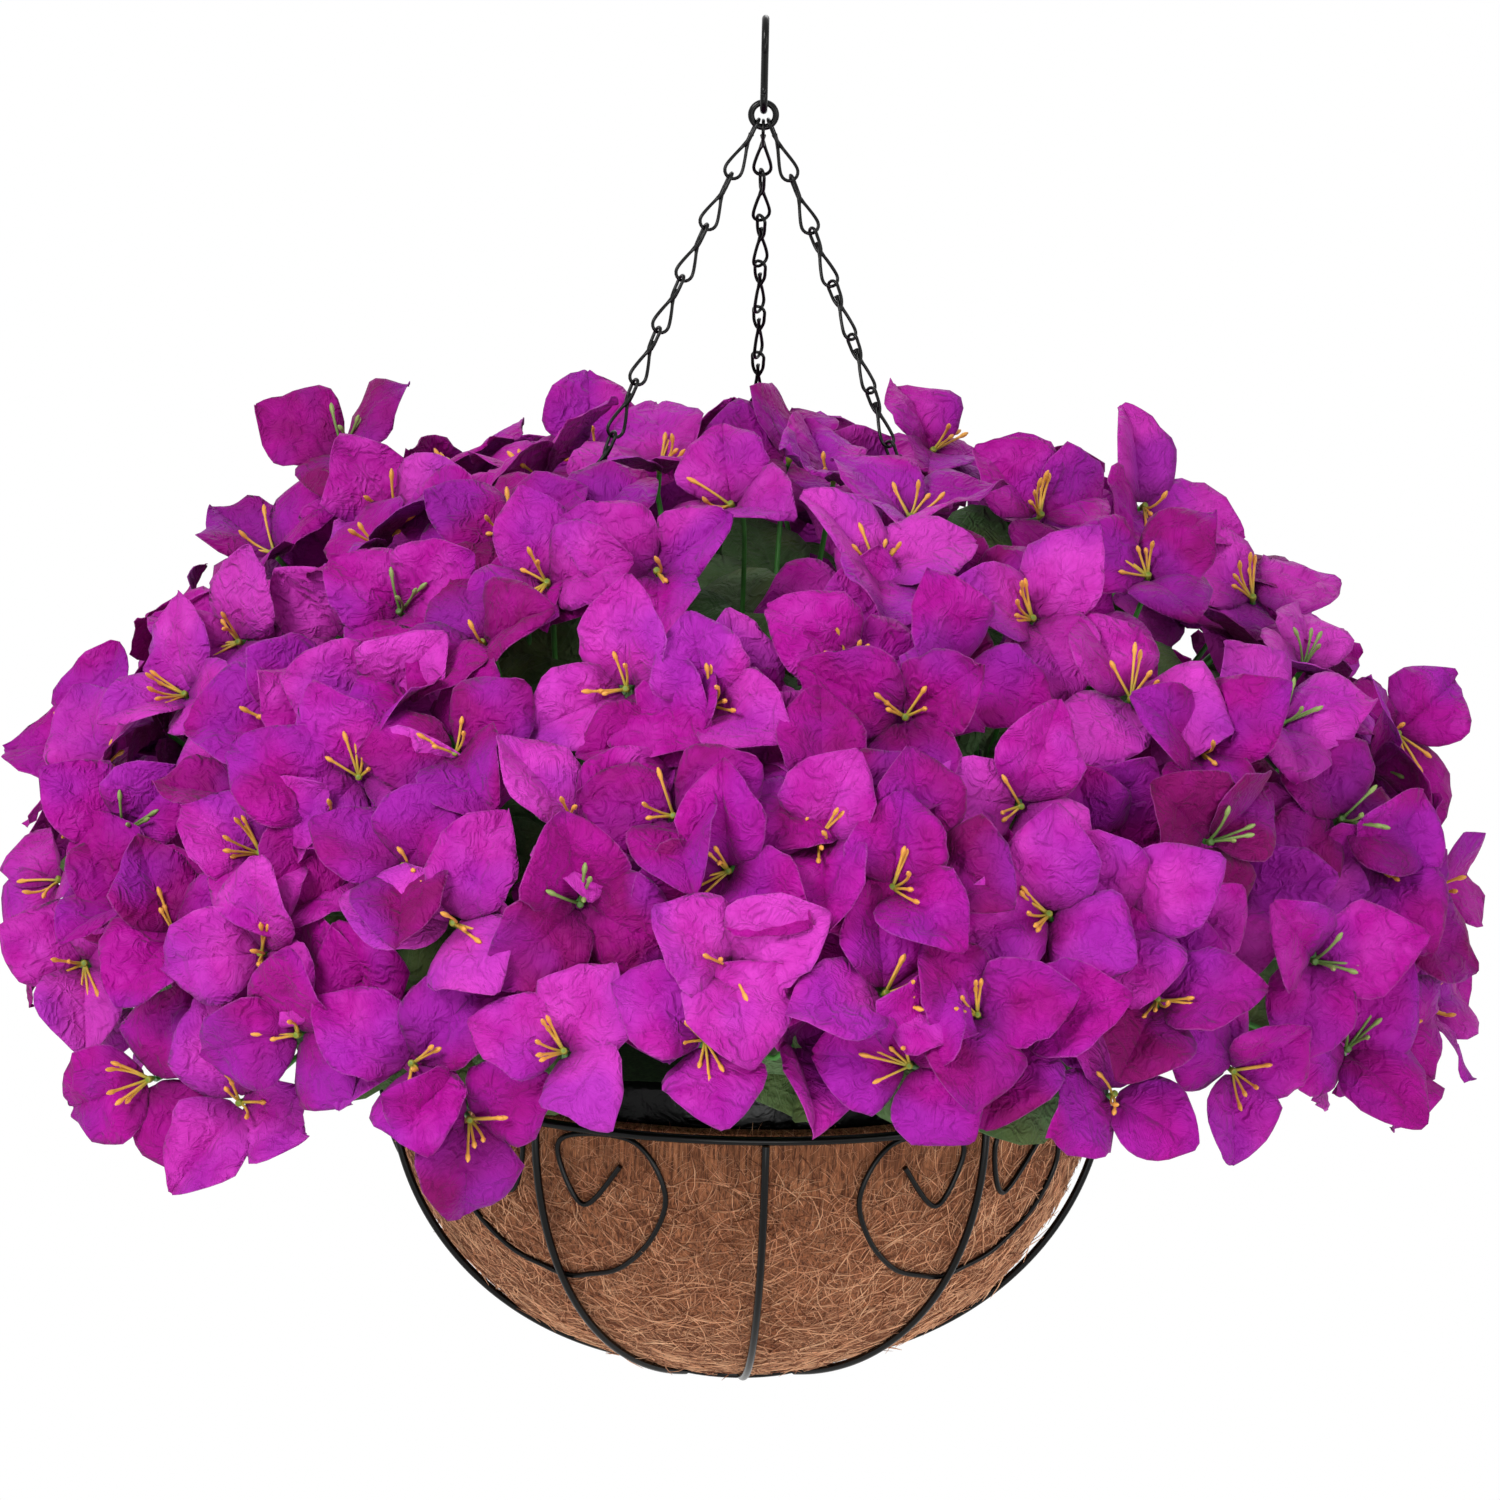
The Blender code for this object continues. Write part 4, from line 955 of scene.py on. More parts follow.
def dyed_colour(tree, coords, colours, other):
    """The cloth's dye: cloudy from dark to light, with its own tint, drifting to another dye lot."""
    tint = add_node(tree, "ShaderNodeAttribute", attribute_name="tint")
    tone = add_node(tree, "ShaderNodeAttribute", attribute_name="tone")
    cloud = add_node(tree, "ShaderNodeTexNoise", {
        "Vector": coords.outputs["Object"], "Scale": 1 / DYE_CLOUD, "Detail": 3.0})
    shift = add_node(tree, "ShaderNodeMath", {0: tint.outputs["Fac"], 1: tone.outputs["Fac"]})
    cloudy = add_node(tree, "ShaderNodeMath", {0: cloud, 1: 0.9, 2: shift}, operation="MULTIPLY_ADD")
    level = add_node(tree, "ShaderNodeMapRange", {"Value": cloudy, "From Min": 0.45, "From Max": 1.45})
    low = add_node(tree, "ShaderNodeMapRange", {"Value": level, "From Max": 0.5})
    high = add_node(tree, "ShaderNodeMapRange", {"Value": level, "From Min": 0.5})
    dark_half = add_node(tree, "ShaderNodeMix", {
        0: low, 6: linear(colours[0]), 7: linear(colours[1])}, data_type="RGBA")
    dyed = add_node(tree, "ShaderNodeMix", {
        0: high, 6: dark_half, 7: linear(colours[2])}, data_type="RGBA")
    drift = add_node(tree, "ShaderNodeTexNoise", {
        "Vector": coords.outputs["Object"], "Scale": 1 / DYE_DRIFT, "Detail": 1.0})
    lot = add_node(tree, "ShaderNodeMapRange", {
        "Value": drift, "From Min": 0.46, "From Max": 0.64, "To Max": 0.6})
    return add_node(tree, "ShaderNodeMix", {0: lot, 6: dyed, 7: linear(other)}, data_type="RGBA")


def pressed_cloth(name, colours, other, foot, edge, vein, edge_start, vein_count):
    """Starched cloth: dark to light dyes, another dye lot, a foot of deeper dye and painted shade, a pale cut
    edge, veins.
    """
    material, tree, shader = new_material(name)
    coords = add_node(tree, "ShaderNodeTexCoord")
    split = add_node(tree, "ShaderNodeSeparateXYZ", {"Vector": coords.outputs["UV"]})
    centred = add_node(tree, "ShaderNodeMath", {
        0: split.outputs["X"], 1: 2.0, 2: -1.0}, operation="MULTIPLY_ADD")
    across = add_node(tree, "ShaderNodeMath", {0: centred}, operation="ABSOLUTE")
    rib = add_node(tree, "ShaderNodeMapRange", {"Value": across, "From Min": MIDRIB_HALF, "From Max": 0.0})
    slant = add_node(tree, "ShaderNodeMath", {
        0: across, 1: -VEIN_SLANT, 2: split.outputs["Y"]}, operation="MULTIPLY_ADD")
    along = add_node(tree, "ShaderNodeMath", {0: slant, 1: vein_count}, operation="MULTIPLY")
    saw = add_node(tree, "ShaderNodeMath", {0: along, 1: 1.0}, operation="PINGPONG")
    side = add_node(tree, "ShaderNodeMapRange", {"Value": saw, "From Min": VEIN_HALF, "From Max": 0.0})
    veins = add_node(tree, "ShaderNodeMath", {0: rib, 1: side}, operation="MAXIMUM")

    # The foot darkens partly with a deeper dye and partly with painted shade, where the sheets crowd together
    # at the centre.
    foot_dye_and_shade = add_node(tree, "ShaderNodeMapRange", {
        "Value": split.outputs["Y"], "From Min": 0.3, "From Max": 0.02, "To Max": 0.75})
    dyed = dyed_colour(tree, coords, colours, other)
    foot_dyed_and_shaded = add_node(tree, "ShaderNodeMix", {0: foot_dye_and_shade, 6: dyed, 7: linear(foot)}, data_type="RGBA")
    faint = add_node(tree, "ShaderNodeMath", {0: veins, 1: 0.12}, operation="MULTIPLY")
    veined = add_node(tree, "ShaderNodeMix", {0: faint, 6: foot_dyed_and_shaded, 7: linear(vein)}, data_type="RGBA")
    fray = add_node(tree, "ShaderNodeTexNoise", {
        "Vector": coords.outputs["Object"], "Scale": 1 / FRAY, "Detail": 2.0})
    wander = add_node(tree, "ShaderNodeMath", {
        0: fray, 1: FRAY_DEPTH, 2: across}, operation="MULTIPLY_ADD")
    cut = add_node(tree, "ShaderNodeMapRange", {
        "Value": wander, "From Min": edge_start, "From Max": edge_start + FRAY_DEPTH, "To Max": 0.3})
    edged = add_node(tree, "ShaderNodeMix", {0: cut, 6: veined, 7: linear(edge)}, data_type="RGBA")

    crumple = add_node(tree, "ShaderNodeTexNoise", {
        "Vector": coords.outputs["Object"], "Scale": 1 / CRUMPLE, "Detail": 3.0, "Offset": 1.0,
        "Gain": 1.6, "Distortion": 0.8}, noise_type="RIDGED_MULTIFRACTAL", normalize=False)
    slanted = add_node(tree, "ShaderNodeCombineXYZ", {"X": split.outputs["X"], "Y": slant})
    threads = add_node(tree, "ShaderNodeMapping", {
        "Vector": slanted, "Scale": (THREADS_ACROSS, THREADS_ALONG, 1.0)})
    thread = add_node(tree, "ShaderNodeTexNoise", {"Vector": threads, "Scale": 1.0, "Detail": 1.0})
    sunk = add_node(tree, "ShaderNodeMath", {0: veins, 1: -0.12, 2: crumple}, operation="MULTIPLY_ADD")
    height = add_node(tree, "ShaderNodeMath", {0: thread, 1: 0.6, 2: sunk}, operation="MULTIPLY_ADD")
    bump = add_node(tree, "ShaderNodeBump", {"Height": height, "Strength": 0.9, "Distance": 0.9 * MM})
    fill_inputs(tree, shader, {
        "Base Color": edged, "Normal": bump, "Roughness": 0.6, "Specular IOR Level": 0.12,
        "Sheen Weight": 0.05, "Sheen Roughness": 0.4})
    return material


# Each foot colour is partly a deeper dye and partly painted shade.
bract_cloth = pressed_cloth(
    "dyed_polyester_bract", ("#820460", "#AE0894", "#D23EC0"), other="#9A22AE", foot="#580648",
    edge="#BE62B8", vein="#84087A", edge_start=0.98, vein_count=9.0)
leaf_cloth = pressed_cloth(
    "dyed_polyester_leaf", ("#345029", "#4E6E42", "#6E8E60"), other="#62703C", foot="#3A5833",
    edge="#7A966E", vein="#90AC84", edge_start=0.99, vein_count=11.0)
print("cloths", bract_cloth.name, leaf_cloth.name)

# %% [markdown]
# ## Finish: stamens and stalks
# Stamens and stalks are polyethylene, injection moulded over wire. The stamens are yellow-green at
# the foot and dipped in orange at the end. The stalks are a clean mid green with a soft shine.

# %% Moulded plastics
STALK_MOTTLE = 8.0 * MM

stamen_plastic, tree, shader = new_material("moulded_stamen")
along = add_node(tree, "ShaderNodeAttribute", attribute_name="along").outputs["Fac"]
ripe = add_node(tree, "ShaderNodeAttribute", attribute_name="ripe").outputs["Fac"]
foot = add_node(tree, "ShaderNodeMapRange", {"Value": along, "From Min": 0.02, "From Max": 0.3})
tip = add_node(tree, "ShaderNodeMapRange", {"Value": along, "From Min": 0.3, "From Max": 0.95})
stem_tone = add_node(tree, "ShaderNodeMix", {
    0: foot, 6: linear("#6C8A26"), 7: linear("#DDB044")}, data_type="RGBA")
dipped = add_node(tree, "ShaderNodeMix", {0: tip, 6: stem_tone, 7: linear("#F0AA48")}, data_type="RGBA")
unripe = add_node(tree, "ShaderNodeMix", {
    0: along, 6: linear("#47702A"), 7: linear("#93AA5C")}, data_type="RGBA")
colour = add_node(tree, "ShaderNodeMix", {0: ripe, 6: unripe, 7: dipped}, data_type="RGBA")
fill_inputs(tree, shader, {"Base Color": colour, "Roughness": 0.5})

stalk_plastic, tree, shader = new_material("moulded_stalk")
coords = add_node(tree, "ShaderNodeTexCoord")
mottle = add_node(tree, "ShaderNodeTexNoise", {
    "Vector": coords.outputs["Object"], "Scale": 1 / STALK_MOTTLE, "Detail": 2.0})
green = add_node(tree, "ShaderNodeMix", {
    0: mottle, 6: linear("#2C6A22"), 7: linear("#4FA83E")}, data_type="RGBA")
fill_inputs(tree, shader, {"Base Color": green, "Roughness": 0.45})
print("plastics", stamen_plastic.name, stalk_plastic.name)

# %% [markdown]
# ## Shapes of bracts, stamens and leaves
# A bract is a broad oval sheet with a blunt point, creased along its middle. It rises from the
# flower's centre and bends outward. Twenty flowers of three bracts and a few leaves are shaped with
# different bends, folds and waves, drawn from ranges, so that no two neighbours look alike. A tree sets
# them out later.

# %% Bracts
BRACT_LENGTH = 42.0 * MM
BRACT_WIDTH = 40.0 * MM
BRACT_START = 2.0 * MM
BRACT_GRID = (14, 10)
LEAF_LENGTH = 54.0 * MM
LEAF_WIDTH = 34.0 * MM
LEAF_GRID = (7, 4)
CLOTH = 0.3 * MM
FLOWER_KINDS = 20
LEAF_KINDS = 6
OPENING = (0.3, 0.8)
BRACT_FORM = {
    "azimuth": (-0.2, 0.2), "length": (0.86, 1.08), "width": (0.86, 1.08), "start_slope": (-0.25, 0.25),
    "end_slope": (-0.4, 0.45), "tip_slope": (-0.7, 0.5), "fold": (0.1, 0.85), "skew": (-0.22, 0.22),
    "roll_back": (0.05, 0.5), "wave": (1.0, 3.6), "waves": (0.8, 1.9), "phase": (0, 1),
    "twist": (-0.35, 0.35), "crush": (1.2, 4.2), "ragged": 0.16, "seed": (0, 50), "tone": (-0.2, 0.2)}
LEAF_FORM = {
    "azimuth": 0.0, "length": (0.85, 1.1), "width": (0.85, 1.1), "start_slope": (0.2, 0.5),
    "end_slope": (-0.5, -0.05), "tip_slope": (-0.4, 0.1), "fold": (0.1, 0.3), "skew": (-0.1, 0.1),
    "roll_back": (0.0, 0.2), "wave": (0.5, 1.5), "waves": (0.8, 1.6), "phase": (0, 1),
    "twist": (-0.2, 0.2), "crush": 0.5, "ragged": 0.04, "seed": (0, 50), "tone": (-0.2, 0.2)}
TIP_FROM = 0.65
SHEET_START = 0.02
SHEET_SPAN = 0.965
SIDE_PHASE = 0.18


def sheet_form(ranges, length, width, azimuth=0.0, opening=0.0):
    """The form of one bract or leaf, drawn from ranges: angles in radians, wave and crush in mm."""
    form = {key: shape_rng.uniform(*span) if isinstance(span, tuple) else span
            for key, span in ranges.items()}
    form["azimuth"] += azimuth
    form["start_slope"] += opening
    form["length"] *= length
    form["width"] *= width
    form["wave"] *= MM
    form["crush"] *= MM
    return form


def outline_width(v):
    """Half width of an oval with a blunt point, as a share, at a share of its length."""
    return math.sin(math.pi * v ** 0.78) ** 0.88


def add_sheet(bm, form, rows, columns):
    """Add one bract or leaf to a bmesh: a grid bent along its middle, with UVs and a tone."""
    uv_layer = bm.loops.layers.uv.verify()
    tone_layer = bm.verts.layers.float.get("tone") or bm.verts.layers.float.new("tone")
    cos_a = math.cos(form["azimuth"])
    sin_a = math.sin(form["azimuth"])
    ahead = Vector((cos_a, sin_a, 0))
    aside = Vector((-sin_a, cos_a, 0))
    up = Vector((0, 0, 1))
    spine = ahead * BRACT_START
    last = 0.0
    grid = []
    for i in range(rows + 1):
        v = SHEET_START + SHEET_SPAN * (0.5 - 0.5 * math.cos(math.pi * i / rows))
        slope = form["start_slope"] + (form["end_slope"] - form["start_slope"]) * v
        slope += form["tip_slope"] * max(v - TIP_FROM, 0.0) / (1 - TIP_FROM)
        spine = spine + (ahead * math.cos(slope) + up * math.sin(slope)) * (form["length"] * (v - last))
        last = v
        normal = up * math.cos(slope) - ahead * math.sin(slope)
        row = []
        for j in range(columns + 1):
            u = 2 * j / columns - 1
            hand = 1 if u > 0 else -1
            ragged = 1 + form["ragged"] * noise.noise(Vector((5 * v, 3 * hand, form["seed"])))
            half = form["width"] / 2 * outline_width(v) * ragged
            s = u * half
            wave = math.sin(math.tau * (form["waves"] * v + form["phase"] + SIDE_PHASE * hand)) * u * u
            fold = form["fold"] + form["skew"] * hand
            lift = abs(s) * fold - form["roll_back"] * s * s / half + form["wave"] * wave * min(2 * v, 1.0)
            place = Vector((s / CRUMPLE, v * form["length"] / CRUMPLE, form["seed"]))
            crush = abs(noise.noise(place)) + 0.5 * abs(noise.noise(place * 2))
            spot = spine + aside * s + normal * (lift + form["twist"] * s * v + crush * form["crush"])
            vert = bm.verts.new(spot)
            vert[tone_layer] = form["tone"]
            row.append((vert, (j / columns, v)))
        grid.append(row)
    for low, high in zip(grid, grid[1:]):
        for j in range(columns):
            corners = (low[j], low[j + 1], high[j + 1], high[j])
            face = bm.faces.new([corner[0] for corner in corners])
            face.smooth = True
            for loop, corner in zip(face.loops, corners):
                loop[uv_layer].uv = corner[1]
    for low, high in zip(grid, grid[1:]):
        bm.edges.get((low[columns // 2][0], high[columns // 2][0])).smooth = False


def cloth_object(name, forms, grid, collection):
    """Sheets as one object with the cloth's thickness."""
    bm = bmesh.new()
    for form in forms:
        add_sheet(bm, form, *grid)
    item = bpy.data.objects.new(name, finished_mesh(bm, name))
    collection.objects.link(item)
    thick = item.modifiers.new("thickness", "SOLIDIFY")
    thick.thickness = CLOTH
    thick.offset = 0
    keep_result(item)


shape_rng = random.Random(23)
flower_kinds = bpy.data.collections.new("flower_kinds")
leaf_kinds = bpy.data.collections.new("leaf_kinds")
stamen_kinds = bpy.data.collections.new("stamen_kinds")
for group in (flower_kinds, leaf_kinds, stamen_kinds):
    bpy.context.scene.collection.children.link(group)

for k in range(FLOWER_KINDS):
    opening = shape_rng.uniform(*OPENING)
    forms = [sheet_form(BRACT_FORM, BRACT_LENGTH, BRACT_WIDTH, math.tau * b / 3, opening) for b in range(3)]
    cloth_object(f"flower_{k:02d}", forms, BRACT_GRID, flower_kinds)
for k in range(LEAF_KINDS):
    cloth_object(f"leaf_{k}", [sheet_form(LEAF_FORM, LEAF_LENGTH, LEAF_WIDTH)], LEAF_GRID, leaf_kinds)
print("shaped", FLOWER_KINDS, "flowers and", LEAF_KINDS, "leaves")

# %% Stamens
STAMEN_KINDS = 8
UNRIPE_KIND = 7
STAMENS = (3, 6)
STAMEN_FAN = (-1.3, 1.3)
STAMEN_SPREAD = (0.5, 1.25)
STAMEN_REACH = (0.6, 1.2)
STAMEN_BEND = (-0.6, 0.4)
STAMEN_LENGTH = 17.0 * MM
STAMEN_RADIUS = 0.55 * MM
ANTHER_RADIUS = 1.05 * MM
STAMEN_ROOT = 1.1 * MM
STAMEN_ROOT_SHARE = 0.7
STAMEN_SIDES = 6
STAMEN_STEPS = (0, 0.25, 0.5, 0.68, 0.76, 0.84, 0.93, 1.0)
STAMEN_TONES = (0.1, 0.25, 0.5, 0.7, 0.8, 0.9, 0.95, 1.0)
FILAMENT_SHARES = (1.2, 1.0, 1.0, 1.1)
ANTHER_SHARES = (0.65, 1.0, 0.9, 0.35)
CUP_RADIUS = 1.5 * MM
CUP_HEIGHT = 4.0 * MM
CUP_SIDES = 8
CUP_STEPS = (0.0, 0.35, 0.8, 1.0, 1.02, 1.04)
CUP_SHARES = (0.55, 0.9, 1.0, 0.85, 0.5, 0.3)
# Over the cup's top the tone falls back to the darker green of its foot: painted shade for a hole in the cup.
CUP_TONES = (0.0, 0.03, 0.06, 0.1, 0.05, 0.0)


def add_tapered(bm, centres, radii, alongs, ripe, sides):
    """Add a round body along centres, with a radius and an along value at each."""
    along_layer = bm.verts.layers.float.get("along") or bm.verts.layers.float.new("along")
    ripe_layer = bm.verts.layers.float.get("ripe") or bm.verts.layers.float.new("ripe")
    rings = []
    side = None
    for i, (centre, radius, along) in enumerate(zip(centres, radii, alongs)):
        axis = (centres[min(i + 1, len(centres) - 1)] - centres[max(i - 1, 0)]).normalized()
        side = side or axis.orthogonal()
        side = (side - axis * side.dot(axis)).normalized()
        other = axis.cross(side)
        ring = []
        for k in range(sides):
            a = math.tau * k / sides
            vert = bm.verts.new(centre + (side * math.cos(a) + other * math.sin(a)) * radius)
            vert[along_layer] = along
            vert[ripe_layer] = ripe
            ring.append(vert)
        rings.append(ring)
    for face in bridge_rings(bm, rings):
        face.smooth = True
    bm.faces.new(list(reversed(rings[0])))
    bm.faces.new(rings[-1])


for kind in range(STAMEN_KINDS):
    bm = bmesh.new()
    ripe = 0.0 if kind == UNRIPE_KIND else 1.0
    cup = [Vector((0, 0, CUP_HEIGHT * h)) for h in CUP_STEPS]
    add_tapered(bm, cup, [CUP_RADIUS * r for r in CUP_SHARES], CUP_TONES, ripe, CUP_SIDES)
    radii = [STAMEN_RADIUS * r for r in FILAMENT_SHARES] + [ANTHER_RADIUS * r for r in ANTHER_SHARES]
    lean = shape_rng.uniform(0, math.tau)
    for s in range(shape_rng.randint(*STAMENS)):
        azimuth = lean + shape_rng.uniform(*STAMEN_FAN)
        spread = shape_rng.uniform(*STAMEN_SPREAD)
        length = STAMEN_LENGTH * shape_rng.uniform(*STAMEN_REACH)
        bend = shape_rng.uniform(*STAMEN_BEND)
        aside = Vector((math.cos(azimuth), math.sin(azimuth), 0))
        root = Vector((0, 0, CUP_HEIGHT * STAMEN_ROOT_SHARE)) + aside * STAMEN_ROOT
        centres = []
        for t in STAMEN_STEPS:
            angle = spread + bend * t
            ahead = aside * math.sin(angle) + Vector((0, 0, math.cos(angle)))
            centres.append(root + ahead * (length * t))
        add_tapered(bm, centres, radii, STAMEN_TONES, ripe, STAMEN_SIDES)
    bmesh.ops.recalc_face_normals(bm, faces=bm.faces)
    mesh = finished_mesh(bm, f"stamens_{kind}")
    stamen_kinds.objects.link(bpy.data.objects.new(mesh.name, mesh))
print("shaped", STAMEN_KINDS, "groups of stamens")

# %% [markdown]
# ## Where the flowers are
# The flowers' centres lie on a dome over the basket. Those in front are read off the photograph: the
# camera's line through each pixel is followed until it meets the dome. The top, the sides and the
# back, which the photograph doesn't show, are filled along a spiral wherever there is room. Each
# flower belongs to one of nine bushes round the basket, or to the crown between the chains.

# %% Flower places
BUSH_COUNT = 9
CROWN_APOTHEM = 78.0 * MM
STALK_RADIUS = 1.8 * MM
CHAIN_CLEARANCE = 2.0 * MM
BUSH_CLEARANCE = 0.8 * MM
SOLID_BRACT = 39.0 * MM
DOME_RADIUS = 277.0 * MM
DOME_RISE = 193.0 * MM
DOME_DROP = 54.0 * MM
DOME_ABOVE_RIM = 45.0 * MM
VIEW_STEPS = 900
VIEW_REACH = 1.5 * DOME_RADIUS
# The middle of each flower that shows, in pixels, and the clock angle of one of its bracts in degrees.
FLOWERS_PX = (
    (344, 452, 46), (596, 458, 349), (819, 449, 12), (930, 455, 345), (730, 513, 350), (514, 541, 60),
    (399, 519, 80), (1038, 519, 60), (1140, 509, 105), (277, 557, 65), (648, 573, 60), (863, 576, 66),
    (402, 615, 60), (485, 647, 98), (242, 643, 130), (1032, 621, 44), (1252, 602, 60), (188, 697, 0),
    (287, 729, 14), (628, 690, 7), (712, 707, 350), (848, 669, 75), (1129, 701, 105), (1300, 672, 20),
    (1395, 736, 40), (95, 750, 10), (360, 777, 91), (457, 755, 38), (575, 825, 65), (675, 818, 51),
    (824, 795, 112), (1020, 806, 30), (1197, 752, 62), (124, 833, 60), (263, 855, 51), (405, 870, 45),
    (730, 871, 122), (927, 846, 0), (1206, 842, 64), (1338, 822, 100), (175, 935, 90), (265, 954, 27),
    (456, 925, 34), (580, 903, 0), (730, 967, 55), (883, 995, 10), (1049, 916, 12), (1156, 1002, 90),
    (1312, 960, 85), (1402, 918, 113), (86, 964, 50), (153, 1078, 25), (242, 1101, 100), (301, 1034, 25),
    (414, 1064, 55), (469, 1117, 60), (565, 1053, 40), (704, 1042, 57), (911, 1066, 30), (991, 1015, 70),
    (1230, 1069, 60), (1345, 1050, 27), (1110, 1095, 0), (819, 841, 40), (892, 890, 10), (905, 717, 55),
    (548, 586, 100), (325, 807, 72), (1147, 580, 30), (1280, 726, 60), (1376, 868, 40),
)
FACE_VIEW = 1.2
FACE_UP = 0.25
FACE_SWAY = 22.0
SWAY_TURN = 2.4
NOD = 45.0
NOD_HEIGHT = RIM_Z + 38 * MM
NOD_DROP = 24.0 * MM
FILL_STEPS = 600
FILL_LOWEST = -0.6
FILL_FRONT = 0.45
FLOWER_SPACING = 48.0 * MM
GOLDEN_ANGLE = math.pi * (3.0 - math.sqrt(5.0))
FLOWER_TILT = 14.0
SLOT_HALF_WIDTH = LINK_TEARDROP + LINK_WIRE / 2 + CHAIN_CLEARANCE
SECTOR = math.tau / BUSH_COUNT
FIRST_SECTOR = math.radians(CHAINS[2][1])
CROWN_SHARE = 1 - (DOME_ABOVE_RIM + DOME_RISE + SOLID_BRACT) / CHAIN_DROP
CROWN_BULGE = 2 * CROWN_SHARE * (1 - CROWN_SHARE) * min(chain[3] for chain in CHAINS)
CROWN_CORNER = RIM_RADIUS * CROWN_SHARE + CROWN_BULGE - SLOT_HALF_WIDTH


def dome_share(point):
    """How far out a point lies in the dome: 1 on its surface."""
    height = point.z - RIM_Z - DOME_ABOVE_RIM
    rise = DOME_RISE if height > 0 else DOME_DROP
    return (point.x ** 2 + point.y ** 2) / DOME_RADIUS ** 2 + (height / rise) ** 2


def meet_dome(x_px, y_px):
    """Where the camera's line through a pixel first meets the dome, or passes nearest to it."""
    ahead = (on_picture(x_px, y_px) - camera.location).normalized()
    near = VIEW_DISTANCE - VIEW_REACH
    step = 2 * VIEW_REACH / VIEW_STEPS
    line = [camera.location + ahead * (near + step * i) for i in range(VIEW_STEPS)]
    return next((point for point in line if dome_share(point) <= 1), min(line, key=dome_share))


def spiral_spots():
    """Points on a spiral from the dome's top down to its skirt."""
    for k in range(FILL_STEPS):
        share = 1 + (FILL_LOWEST - 1) * (k + 0.5) / FILL_STEPS
        reach = DOME_RADIUS * math.sqrt(1 - share ** 2)
        height = share * (DOME_RISE if share > 0 else DOME_DROP)
        turn = k * GOLDEN_ANGLE
        yield Vector((reach * math.cos(turn), reach * math.sin(turn), RIM_Z + DOME_ABOVE_RIM + height))


def flower_places():
    """All flowers, each with its bush and its centre: those seen in the photo, then the filling."""
    places = [settle(meet_dome(x_px, y_px)) for x_px, y_px, _ in FLOWERS_PX]
    for spot in spiral_spots():
        index, centre = settle(spot)
        unseen = (spot - RIM_CENTRE).normalized().dot(toward_camera) < FILL_FRONT
        if unseen and all((centre - other).length > FLOWER_SPACING for _, other in places):
            places.append((index, centre))
    return places


def sector_middle(index):
    """Plan azimuth of the middle of a bush's sector."""
    return FIRST_SECTOR + SECTOR * (index + 0.5)


def sector_limits(index):
    """How far the two side walls of a sector stand off its bounding planes."""
    chain_turns = [math.radians(chain[1]) - FIRST_SECTOR for chain in CHAINS]
    chain_sectors = [round(turn / SECTOR) % BUSH_COUNT for turn in chain_turns]
    right = SLOT_HALF_WIDTH if index in chain_sectors else BUSH_CLEARANCE / 2
    left = SLOT_HALF_WIDTH if (index + 1) % BUSH_COUNT in chain_sectors else BUSH_CLEARANCE / 2
    return right, left


def crown_walls():
    """Plan directions of the crown's upright walls, and how far each stands from the axis."""
    walls = [(sector_middle(k), CROWN_APOTHEM) for k in range(BUSH_COUNT)]
    return walls + [(math.radians(chain[1]), CROWN_CORNER) for chain in CHAINS]


def settle(place):
    """The bush a flower belongs to, and its centre moved just inside that bush's own space."""
    reach = math.hypot(place.x, place.y)
    inside = 3 * STALK_RADIUS
    azimuth = math.atan2(place.y, place.x)
    index = int(((azimuth - FIRST_SECTOR) % math.tau) / SECTOR)
    middle = sector_middle(index)
    offset = (azimuth - middle + math.pi) % math.tau - math.pi
    if reach * math.cos(offset) < CROWN_APOTHEM:
        slants = [(math.cos(azimuth - wall), stand_off) for wall, stand_off in crown_walls()]
        limit = min((stand_off - inside) / slant for slant, stand_off in slants if slant > 0.001)
        share = min(1.0, limit / max(reach, MM))
        return BUSH_COUNT, Vector((place.x * share, place.y * share, place.z))
    right, left = sector_limits(index)
    low = -SECTOR / 2 + math.asin((right + inside) / reach)
    high = SECTOR / 2 - math.asin((left + inside) / reach)
    offset = min(max(offset, low), high)
    reach = max(reach, (CROWN_APOTHEM + inside) / math.cos(offset))
    turn = middle + offset
    return index, Vector((reach * math.cos(turn), reach * math.sin(turn), place.z))


def bush_flowers():
    """The flowers of each bush: centre, and a turn whose Z faces outward and X leads to a bract."""
    bushes = [[] for _ in range(BUSH_COUNT + 1)]
    for number, (index, base) in enumerate(flower_places()):
        outward = (base - RIM_CENTRE).normalized()
        if number < len(FLOWERS_PX):
            clock = math.radians(FLOWERS_PX[number][2])
            lead = view_right * math.sin(clock) + view_up * math.cos(clock)
            outward = (outward + toward_camera * FACE_VIEW + Vector((0, 0, FACE_UP))).normalized()
            below = min(max((NOD_HEIGHT - base.z) / NOD_DROP, 0.0), 1.0)
            outward.rotate(Quaternion(view_right, math.radians(NOD) * below))
            sway = Quaternion(outward, SWAY_TURN * number) @ outward.orthogonal()
            outward.rotate(Quaternion(sway, math.radians(FACE_SWAY) * math.sin(5 * number)))
        else:
            roll = number * GOLDEN_ANGLE
            outward.rotate(Quaternion(outward.orthogonal(), math.radians(FLOWER_TILT) * math.sin(3 * roll)))
            lead = Quaternion(outward, roll) @ outward.orthogonal()
        lead = (lead - outward * lead.dot(outward)).normalized()
        turn = Matrix((lead, outward.cross(lead), outward)).transposed()
        bushes[index].append((base, turn))
    return [sorted(flowers, key=lambda flower: -flower[0].z) for flowers in bushes]


# %% [markdown]
# ## Bushes
# One tree makes a whole bush from a mesh of points and lines: at each flower point it sets one of
# the flowers and a group of stamens, at each leaf point a leaf, and along each line it sweeps a
# stalk. Under most flowers a second one shows between its neighbours, too deep to see its stamens.
# Each flower gets its own tint, as dye lots differ.

